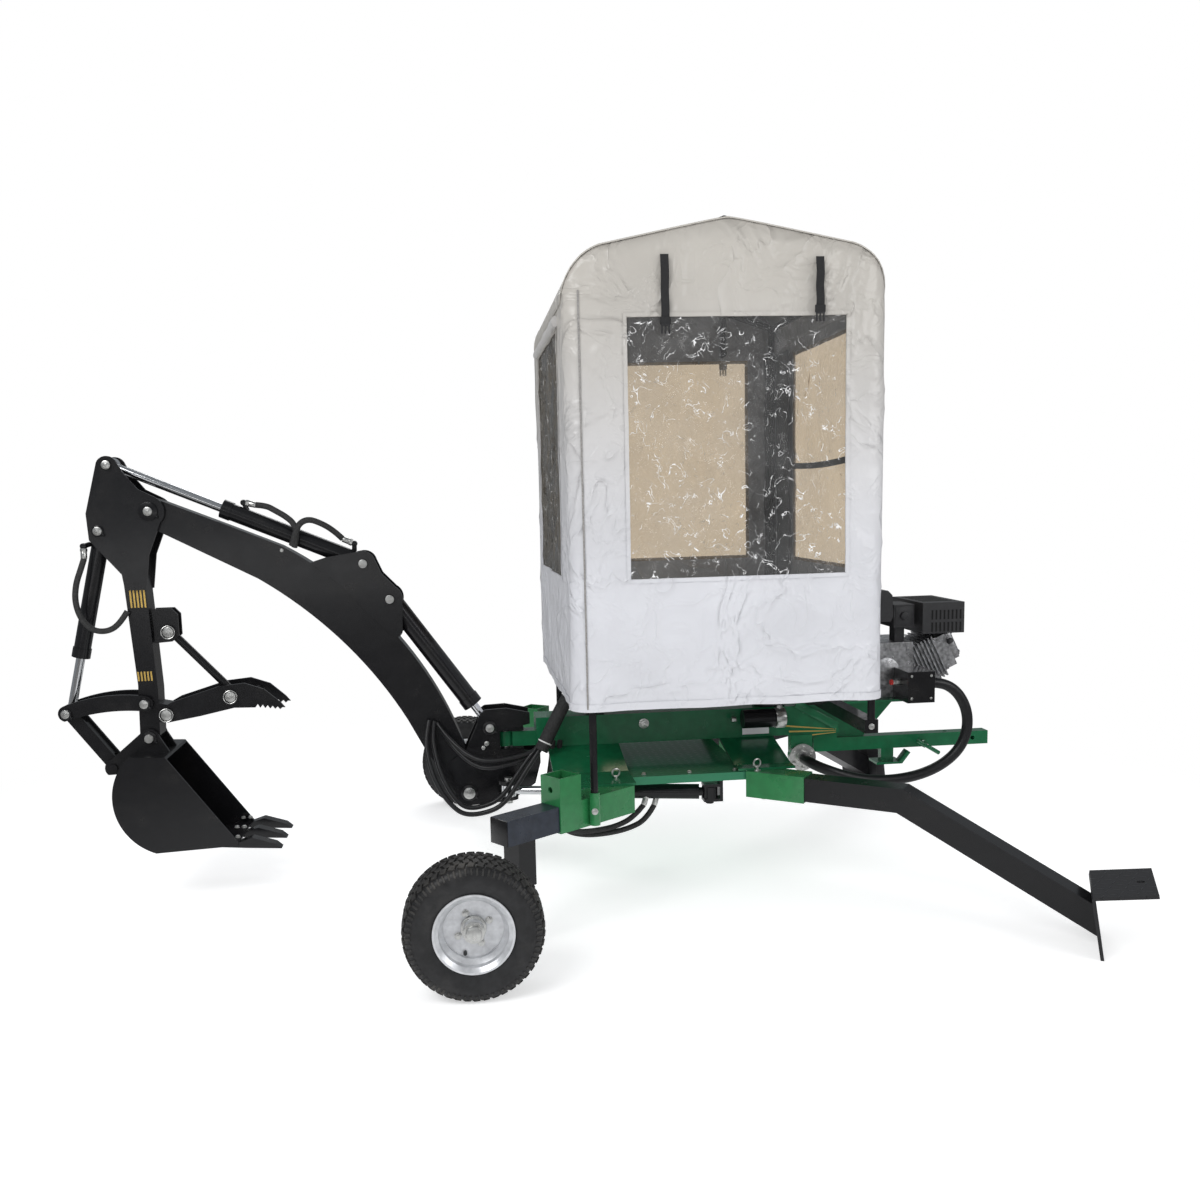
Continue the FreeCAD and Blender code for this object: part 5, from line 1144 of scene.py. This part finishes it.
# %% Tyres with tread blocks
AXLE_X, AXLE_Y, TYRE = -0.3246, 1.005, 0.199
CARCASS = (
    # radius, half width
    (0.1025, 0.0480), (0.1080, 0.0600), (0.1180, 0.0665), (0.1350, 0.0735), (0.1550, 0.0775),
    (0.1700, 0.0770), (0.1810, 0.0720), (0.1885, 0.0640), (0.1915, 0.0500), (0.1925, 0.0250),
)
tread_finish = finish("tread_rubber", (0.022, 0.021, 0.020), 0.6, vary=0.35, grain=60, bump=0.5,
                      bump_scale=350, dust=0.25)
for side, name in ((-1, "near"), (1, "far")):
    tyre = bmesh.new()
    half = [(r, w) for r, w in CARCASS]
    section = half + [(0.1925, -0.0250)] + [(r, -w) for r, w in reversed(half[:-1])]
    ring = [tyre.verts.new((r, w, 0)) for r, w in section]
    edges = [tyre.edges.new((ring[i], ring[(i + 1) % len(ring)])) for i in range(len(ring))]
    bmesh.ops.spin(tyre, geom=ring + edges, cent=(0, 0, 0), axis=(0, 1, 0), angle=2 * math.pi,
                   steps=96, use_merge=True)
    bmesh.ops.remove_doubles(tyre, verts=tyre.verts, dist=1e-5)
    bmesh.ops.translate(tyre, vec=(AXLE_X, side * AXLE_Y, TYRE), verts=tyre.verts)
    carcass = to_piece(tyre, "tyre_carcass_" + name, tyre_rubber, "wheel_" + name)
    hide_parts("tyre_" + name)
    tread = bmesh.new()
    ROWS = ((0.0, 0.0215, 0.1985, 0), (0.0268, 0.0215, 0.1978, 6), (0.0520, 0.0200, 0.1962, 14))
    for row in (-2, -1, 0, 1, 2):
        middle, wide, top, tilt = ROWS[abs(row)]
        middle = math.copysign(middle, row)
        for i in range(46):
            angle = 2 * math.pi * (i + 0.5 * (row % 2)) / 46
            height = top - 0.1880
            block = add_block(tread, (0, 0, 0), (0.0185, wide, height), edge=0.0012, segments=1)
            lean = Matrix.Rotation(math.radians(tilt) * (1 if row > 0 else -1), 4, "X")
            skew = Matrix.Rotation(math.radians(18 * (1 if row % 2 else -1)), 4, "Z")
            place = (Matrix.Translation((AXLE_X, side * AXLE_Y, TYRE))
                     @ Matrix.Rotation(angle, 4, "Y")
                     @ Matrix.Translation((0, middle, 0.1880 + height / 2)) @ lean.inverted()
                     @ skew)
            bmesh.ops.transform(tread, matrix=place, verts=block)
    to_piece(tread, "tyre_tread_" + name, tread_finish, "wheel_" + name)
print("tread blocks on each tyre:", 5 * 46)

# %% [markdown]
# The rim is the CAD solid. It gets a hub cap, four wheel bolts and a valve. The tyre wall gets
# the radial ribs below its shoulder.

# %% Wheel bolts and hub caps
def outer_face(node, x, z, inner, outer):
    """Outermost |Y| of a CAD solid between two distances from the axle."""
    return max(abs(v.co.y) for v in nodes[node].data.vertices
               if inner <= math.hypot(v.co.x - x, v.co.z - z) <= outer)


hub_face = outer_face("rim_near", AXLE_X, TYRE, 0.0, 0.031)
disc_face = 1.0207  # outer face of the rim's disc where the bolts sit
print("hub face", round(hub_face, 4), "m from the middle")

for side, name in ((-1, "near"), (1, "far")):
    bright, dark = bmesh.new(), bmesh.new()
    for i in range(4):
        angle = math.radians(25 + 90 * i)
        place = Vector((AXLE_X + 0.048 * math.cos(angle), side * disc_face,
                        TYRE + 0.048 * math.sin(angle)))
        add_bolt(bright, place, (0, side, 0), 0.0085)
    add_round(bright, Vector((AXLE_X, side * (hub_face + 0.001), TYRE)), (0, side, 0), 0.0310,
              0.008, 48, 0.0025)
    add_round(bright, Vector((AXLE_X, side * (hub_face + 0.011), TYRE)), (0, side, 0), 0.0225,
              0.020, 40, 0.0045)
    add_round(bright, Vector((AXLE_X, side * 1.0235, TYRE)), (0, side, 0), 0.0360, 0.006, 48,
              0.002)
    valve = Vector((math.cos(4.355), 0, math.sin(4.355)))
    add_round(dark, Vector((AXLE_X, side * 1.028, TYRE)) + valve * 0.073, (0, side, 0), 0.0055,
              0.014, 20, 0.001)
    ribs = bmesh.new()
    for i in range(72):
        turn = 2 * math.pi * i / 72
        rib = add_block(ribs, (0, 0, 0), (0.0065, 0.0045, 0.0200), edge=0.0012, segments=1)
        bmesh.ops.transform(ribs, verts=rib, matrix=(
            Matrix.Translation((AXLE_X, side * AXLE_Y, TYRE)) @ Matrix.Rotation(turn, 4, "Y")
            @ Matrix.Translation((0, side * 0.0725, 0.1800))
            @ Matrix.Rotation(side * math.radians(34), 4, "X")))
    to_piece(ribs, "tyre_ribs_" + name, tread_finish, "wheel_" + name)
    to_piece(bright, "wheel_bolts_" + name, zinc, "wheel_" + name)
    to_piece(dark, "wheel_cap_" + name, black_plastic, "wheel_" + name)

# %% [markdown]
# ## Deck
# The deck is pressed tread plate: lozenges that lean left and right by turns. The pattern is
# pure arithmetic on the position, so it stays sharp at any distance and needs no picture.

# %% Tread plate finish
def tread_plate(name, colour, cell=0.030, coat=0.0):
    """Painted plate with raised lozenges, from Object X and Y."""
    material, kit, wires = fresh_material(name)
    shader = new_node(kit, "BsdfPrincipled", {"Base Color": (*colour, 1), "Coat Weight": coat})
    place = new_node(kit, "TexCoord")
    split = new_node(kit, "SeparateXYZ")
    wires.new(place.outputs["Object"], split.inputs[0])

    def math_node(operation, a, b=None):
        made = new_node(kit, "Math")
        made.operation = operation
        for socket, value in zip(made.inputs, (a, b)):
            if value is None:
                continue
            if isinstance(value, (int, float)):
                socket.default_value = value
            else:
                wires.new(value, socket)
        return made.outputs[0]

    across = math_node("DIVIDE", split.outputs["X"], cell)
    along = math_node("DIVIDE", split.outputs["Y"], cell)
    column, row = math_node("FLOOR", across), math_node("FLOOR", along)
    u = math_node("SUBTRACT", math_node("FRACT", across), 0.5)
    v = math_node("SUBTRACT", math_node("FRACT", along), 0.5)
    parity = math_node("PINGPONG", math_node("ADD", column, row), 1.0)
    lean = math_node("SUBTRACT", math_node("MULTIPLY", parity, 2.0), 1.0)
    leaned = math_node("MULTIPLY", u, lean)
    long_way = math_node("ADD", leaned, v)
    short_way = math_node("SUBTRACT", leaned, v)
    shape = math_node("ADD", math_node("MULTIPLY", math_node("POWER", long_way, 2.0), 1.4),
                      math_node("MULTIPLY", math_node("POWER", short_way, 2.0), 26.0))
    raised = new_node(kit, "MapRange", {"From Min": 0.55, "From Max": 0.30},
                      interpolation_type="SMOOTHSTEP")
    wires.new(shape, raised.inputs["Value"])
    relief = new_node(kit, "Bump", {"Strength": 1.0, "Distance": 0.0022})
    wires.new(raised.outputs[0], relief.inputs["Height"])
    wires.new(relief.outputs[0], shader.inputs["Normal"])
    gloss = new_node(kit, "MapRange", {"To Min": 0.5, "To Max": 0.32})
    wires.new(raised.outputs[0], gloss.inputs["Value"])
    wires.new(gloss.outputs[0], shader.inputs["Roughness"])
    out = new_node(kit, "OutputMaterial")
    wires.new(shader.outputs[0], out.inputs[0])
    return material


deck_finish = tread_plate("green_tread_plate", (0.014, 0.190, 0.088), coat=0.2)
foot_finish = tread_plate("black_tread_plate", (0.014, 0.014, 0.016))
light_green = finish("light_green_paint", (0.022, 0.180, 0.058), 0.28, grain=30, bump=0.25,
                     bump_scale=90, depth=0.0006, coat=0.4, dust=0.04)
for name, material in (("platform", deck_finish), ("foot_plates", foot_finish),
                       ("stow_sockets", light_green), ("wheel_leg_sleeves", light_green),
                       ("foot_leg_sleeves", light_green)):
    nodes[name].data.materials.clear()
    nodes[name].data.materials.append(material)
print("tread plate cells of 30 mm")

# %% [markdown]
# ## Engine details
# The engine is recognised by a few parts: the slotted guard over the muffler, the rocker cover
# held by four bolts, the finned fan cover with its pull start, the tank's cap and the air
# cleaner's knob.

# %% Guard slots, rocker cover and fan cover
ENGINE_X = 1.2054
slots = bmesh.new()
for half in (0, 1):
    for i in range(8):
        add_block(slots, Vector((1.3560 + i * 0.0150, -0.1801, 0.8800 + half * 0.0440)),
                  (0.0065, 0.0012, 0.0340), edge=0.0005, segments=1)
for i in range(7):
    add_block(slots, Vector((1.4752, -0.120 + i * 0.030, 0.915)), (0.0012, 0.010, 0.070),
              edge=0.0005, segments=1)
    add_block(slots, Vector((1.3975, -0.120 + i * 0.030, 0.9682)), (0.110, 0.010, 0.0012),
              edge=0.0005, segments=1)
slot_black = finish("slot_shadow", (0.004, 0.004, 0.004), 0.9, vary=0.1)
to_piece(slots, "guard_slots", slot_black)

silver, black = bmesh.new(), bmesh.new()
lean = Matrix.Rotation(math.radians(-25), 4, "Y")
cylinder_start = Vector((ENGINE_X + 0.057, -0.020, 0.692))
cover = Matrix.Translation(cylinder_start) @ lean @ Matrix.Translation((0.240, 0, 0.007))
block = add_block(silver, (0, 0, 0), (0.036, 0.118, 0.104), edge=0.011, segments=4)
bmesh.ops.transform(silver, matrix=cover, verts=block)
for y in (-0.044, 0.044):
    for z in (-0.038, 0.038):
        top = cover @ Vector((0.018, y, z))
        add_bolt(silver, top, lean.to_3x3() @ Vector((1, 0, 0)), 0.0055, washer=False)
plug = cover @ Vector((-0.010, -0.072, 0.020))
add_round(black, plug, (0, -1, 0.4), 0.010, 0.040, 20, 0.003)
FAN = Vector((ENGINE_X - 0.005, 0.177, 0.727))
add_round(black, FAN - Vector((0, 0.004, 0)), (0, 1, 0), 0.0900, 0.008, 48, 0.003)
add_round(black, FAN + Vector((0, 0.001, 0)), (0, 1, 0), 0.0380, 0.008, 36, 0.003)
for i in range(18):
    angle = 2 * math.pi * i / 18
    ray = Vector((math.cos(angle), 0, math.sin(angle)))
    turn = Matrix.Rotation(-angle, 4, "Y")
    add_block(black, FAN + Vector((0, 0.0005, 0)) + ray * 0.0620,
              (0.040, 0.004, 0.0045), turn, 0.001, 1)
for x in (-0.088, 0.082):
    for z in (0.020, 0.175):
        add_bolt(silver, (ENGINE_X - 0.003 + x, -0.1350, 0.624 + z), (0, -1, 0), 0.0060,
                 washer=False)
add_round(silver, Vector((ENGINE_X - 0.003, -0.1375, 0.720)), (0, -1, 0), 0.050, 0.007, 40, 0.002)
to_piece(silver, "engine_covers", cast_alloy)
add_round(black, Vector((1.1310, 0.020, 1.0215)), (0, 0, 1), 0.0300, 0.016, 32, 0.004)
for i in range(12):
    angle = 2 * math.pi * i / 12
    add_round(black, Vector((1.1310 + 0.0300 * math.cos(angle), 0.020 + 0.0300 * math.sin(angle),
                             1.0215)), (0, 0, 1), 0.0035, 0.012, 8, 0.001)
add_round(black, Vector((1.2630, -0.1545, 0.922)), (0, -1, 0), 0.0140, 0.012, 24, 0.003)
add_block(black, Vector((1.2630, -0.1505, 0.921)), (0.066, 0.003, 0.070), edge=0.0012)
to_piece(black, "engine_plastics", black_plastic)
print("guard slots:", 16)

# %% [markdown]
# The pump has a bright fitting with a red cap on its inner face. The oil filter's head is bare
# alloy, and its canister is ribbed near the foot.

# %% Pump fittings and filter head
fittings = bmesh.new()
add_round(fittings, Vector((1.2250, -0.200, 0.690)), (-1, 0, 0), 0.0110, 0.020, 6, 0.001)
add_round(fittings, Vector((1.2110, -0.200, 0.690)), (-1, 0, 0), 0.0085, 0.020, 24, 0.001)
add_round(fittings, Vector((1.3300, -0.205, 0.684)), (1, 0, 0), 0.0220, 0.012, 32, 0.002)
for x, z in ((1.2440, 0.640), (1.3150, 0.640), (1.2440, 0.720), (1.3150, 0.720)):
    add_bolt(fittings, (x, -0.2700, z), (0, -1, 0), 0.0050, washer=False)
add_round(fittings, Vector((0.8180, -0.100, 0.560)), (1, 0, 0), 0.0372, 0.0380, 40, 0.003)
add_round(fittings, Vector((0.8180, -0.100, 0.600)), (0, 0, 1), 0.0110, 0.014, 6, 0.001)
add_round(fittings, Vector((0.6480, -0.100, 0.560)), (1, 0, 0), 0.0100, 0.016, 6, 0.001)
to_piece(fittings, "hydraulic_fittings", zinc)
red_cap = bmesh.new()
add_round(red_cap, Vector((1.1990, -0.200, 0.690)), (-1, 0, 0), 0.0100, 0.010, 24, 0.002)
red_plastic = finish("red_cap_plastic", (0.45, 0.02, 0.015), 0.4, bump=0.1)
to_piece(red_cap, "red_cap", red_plastic)

# %% [markdown]
# ## Hose ends and ports
# Every hydraulic hose ends in a crimped shell and a hexagon, which screws onto a short port.

# %% Crimped fittings
def add_fitting(mesh, place, ahead, radius):
    """Shell, hexagon and collar, one after another along a direction."""
    place, ahead = Vector(place), Vector(ahead).normalized()
    add_round(mesh, place + ahead * 0.012, ahead, radius * 1.12, 0.024, 20, 0.0012)
    add_round(mesh, place + ahead * 0.030, ahead, radius * 1.25, 0.011, 6, 0.0010)
    add_round(mesh, place + ahead * 0.039, ahead, radius * 0.85, 0.009, 16, 0.0008)


PORTS = (
    # body, hose end, direction on towards the port, hose radius, port foot on the barrel
    ("crowd_barrel", (-1.020, -0.004, 1.381), (-1.0, 0.05, 0.22), 0.0095, (-1.050, 0.0, 1.360)),
    ("crowd_barrel", (-0.728, -0.004, 1.254), (1.0, 0.05, -0.45), 0.0095, (-0.690, 0.0, 1.206)),
    ("curl_barrel", (-1.602, -0.040, 1.214), (0.02, 0.10, 1.0), 0.0095, (-1.590, -0.010, 1.262)),
    ("swing_barrel", (0.284, -0.264, 0.307), (0.35, 0.10, 1.0), 0.0090, (0.300, -0.255, 0.338)),
    ("swing_barrel", (0.322, -0.260, 0.304), (0.35, 0.10, 1.0), 0.0090, (0.340, -0.262, 0.338)),
)
ports, ends = {}, {}
for body, place, ahead, radius, foot in PORTS:
    shell = ends.setdefault(body, bmesh.new())
    add_fitting(shell, place, ahead, radius)
    tip = Vector(place) + Vector(ahead).normalized() * 0.043
    stub = ports.setdefault(body, bmesh.new())
    span = Vector(foot) - tip
    add_round(stub, tip + span / 2, span, 0.0085, span.length + 0.008, 18, 0.001)
    add_round(stub, tip, (0, 1, 0), 0.0105, 0.020, 18, 0.002)
for body in ports:
    to_piece(ends[body], "fittings_" + body, zinc, body)
    to_piece(ports[body], "ports_" + body, black_paint, body)
tie = bmesh.new()
add_ring(tie, (-0.045, -0.1365, 0.518), (0.45, 0.12, 0.88), 0.0240, 0.0026)
tie_piece = to_piece(tie, "white_tie", white_plastic)
print("hose fittings:", len(PORTS))

# %% [markdown]
# ## Seat
# The operator's seat stands on a post. Its cushion and back are stuffed pads: each starts as a
# rounded block, is remeshed, and a short cloth simulation with air pressure swells it between its
# piping. The swelling moves a point by 7 mm at most on the cushion and 6 mm on the back.

# %% Seat post, pan, cushion and back
seat_parts = bmesh.new()
POST_X = 0.805
add_round(seat_parts, Vector((POST_X, 0, 0.694)), (0, 0, 1), 0.0300, 0.204, 40, 0.002)
add_round(seat_parts, Vector((POST_X, 0, 0.598)), (0, 0, 1), 0.0600, 0.010, 40, 0.002)
add_block(seat_parts, Vector((0.800, 0, 0.802)), (0.300, 0.300, 0.010), edge=0.003)
for y in (-0.055, 0.055):
    add_block(seat_parts, Vector((0.955, y, 0.858)), (0.014, 0.030, 0.120), edge=0.003)
seat_stand = to_piece(seat_parts, "seat_stand", satin_black)


def stuffed_pad(name, centre, size, corner, cap):
    """Pad from a rounded block, swollen by a cloth simulation; points move by cap at most."""
    block = bmesh.new()
    add_block(block, centre, size, edge=corner, segments=5)
    pad = to_piece(block, name, seat_vinyl, smooth=0)
    remesh = pad.modifiers.new("remesh", "REMESH")
    remesh.mode = "VOXEL"
    remesh.voxel_size = 0.006
    bpy.context.view_layer.update()
    seen = pad.evaluated_get(bpy.context.evaluated_depsgraph_get())
    shape = bpy.data.meshes.new_from_object(seen)
    pad.modifiers.clear()
    pad.data = shape
    start = [v.co.copy() for v in shape.vertices]
    cloth = pad.modifiers.new("stuffing", "CLOTH")
    cloth.settings.use_pressure = True
    cloth.settings.uniform_pressure_force = 4
    cloth.settings.effector_weights.gravity = 0
    for number in range(1, 21):
        bpy.context.scene.frame_set(number)
    swollen = pad.evaluated_get(bpy.context.evaluated_depsgraph_get()).data
    for vert, home, moved in zip(shape.vertices, start, swollen.vertices):
        push = moved.co - home
        vert.co = home + push * min(1.0, cap / max(push.length, 1e-6))
    pad.modifiers.clear()
    bpy.context.scene.frame_set(1)
    # The piping pulls the skin in along a line inside the pad's outline
    low = Vector(centre) - Vector(size) / 2
    thin = min(range(3), key=lambda axis: size[axis])
    wide = [axis for axis in range(3) if axis != thin]
    for vert in shape.vertices:
        rim = min(min(vert.co[a] - low[a], low[a] + size[a] - vert.co[a]) for a in wide)
        dent = math.exp(-((rim - 0.045) / 0.006) ** 2) * 0.0045
        vert.co[thin] -= math.copysign(dent, vert.co[thin] - centre[thin])
    shape.materials.clear()
    shape.materials.append(seat_vinyl)
    shape.shade_smooth()
    print(name, len(shape.vertices), "points")
    return pad


stuffed_pad("seat_cushion", (0.795, 0, 0.8295), (0.346, 0.362, 0.036), 0.016, 0.007)
stuffed_pad("seat_back", (0.9585, 0, 0.957), (0.034, 0.326, 0.216), 0.014, 0.006)
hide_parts("seat")

# %% [markdown]
# ## Small parts of the frame
# Lids close the open ends of the wheel legs. The telescopic legs and the drawbar are locked by
# pins with rings and by a screw with a cross handle.

# %% Lids, ring pins, lock screw and clamp
lids, bright, green = bmesh.new(), bmesh.new(), bmesh.new()
for side in (-1, 1):
    out = Vector((-0.802, side * 0.598, 0)).normalized()
    add_block(lids, Vector((-0.2349, side * 0.7375, 0.382)) + out * 0.001, (0.079, 0.079, 0.006),
              turn_to(out), 0.0015)
    for x, y, z in ((0.174, 0.367, 0.4225), (0.671, 0.329, 0.4225)):
        add_round(bright, Vector((x, side * y, z + 0.004)), (0, 0, 1), 0.0120, 0.008, 6, 0.0008)
        add_round(bright, Vector((x, side * y, z + 0.014)), (0, 0, 1), 0.0060, 0.014, 16, 0.001)
        add_ring(bright, Vector((x, side * y, z + 0.030)), (0.3, -1, 0), 0.0135, 0.0032)
    add_bolt(bright, (0.690, side * 0.345, 0.3370), (0, 0, -1), 0.0095)
to_piece(lids, "leg_lids", black_paint)

# Lock screw on the near side of the drawbar, its handle leaning across it
LOCK_X, LOCK_Z = 1.385, 0.425
add_round(green, Vector((LOCK_X, -0.052, LOCK_Z)), (0, -1, 0), 0.0140, 0.026, 6, 0.001)
add_round(bright, Vector((LOCK_X, -0.070, LOCK_Z)), (0, -1, 0), 0.0070, 0.040, 20, 0.001)
add_round(green, Vector((1.390, -0.086, 0.420)), (0.085, 0, -0.052), 0.0075, 0.100, 20, 0.002)
tilt = Matrix.Rotation(math.radians(38), 4, "Y")
add_block(green, Vector((1.320, -0.022, 0.374)), (0.014, 0.040, 0.052), tilt, 0.002)
add_block(green, Vector((0.968, -0.066, 0.557)), (0.180, 0.010, 0.030),
          Matrix.Rotation(math.radians(30.5), 4, "Y"), 0.002)
to_piece(green, "green_small_parts", green_paint)
add_bolt(bright, (0.984, -0.5700, 0.614), (0, -1, 0), 0.0080)
add_bolt(bright, (0.324, -0.0600, 0.553), (0, -1, 0), 0.0150)
add_round(bright, Vector((0.324, -0.0690, 0.553)), (0, -1, 0), 0.0070, 0.016, 20, 0.001)
to_piece(bright, "ring_pins_and_bolts", zinc)
print("leg lids and ring pins set")
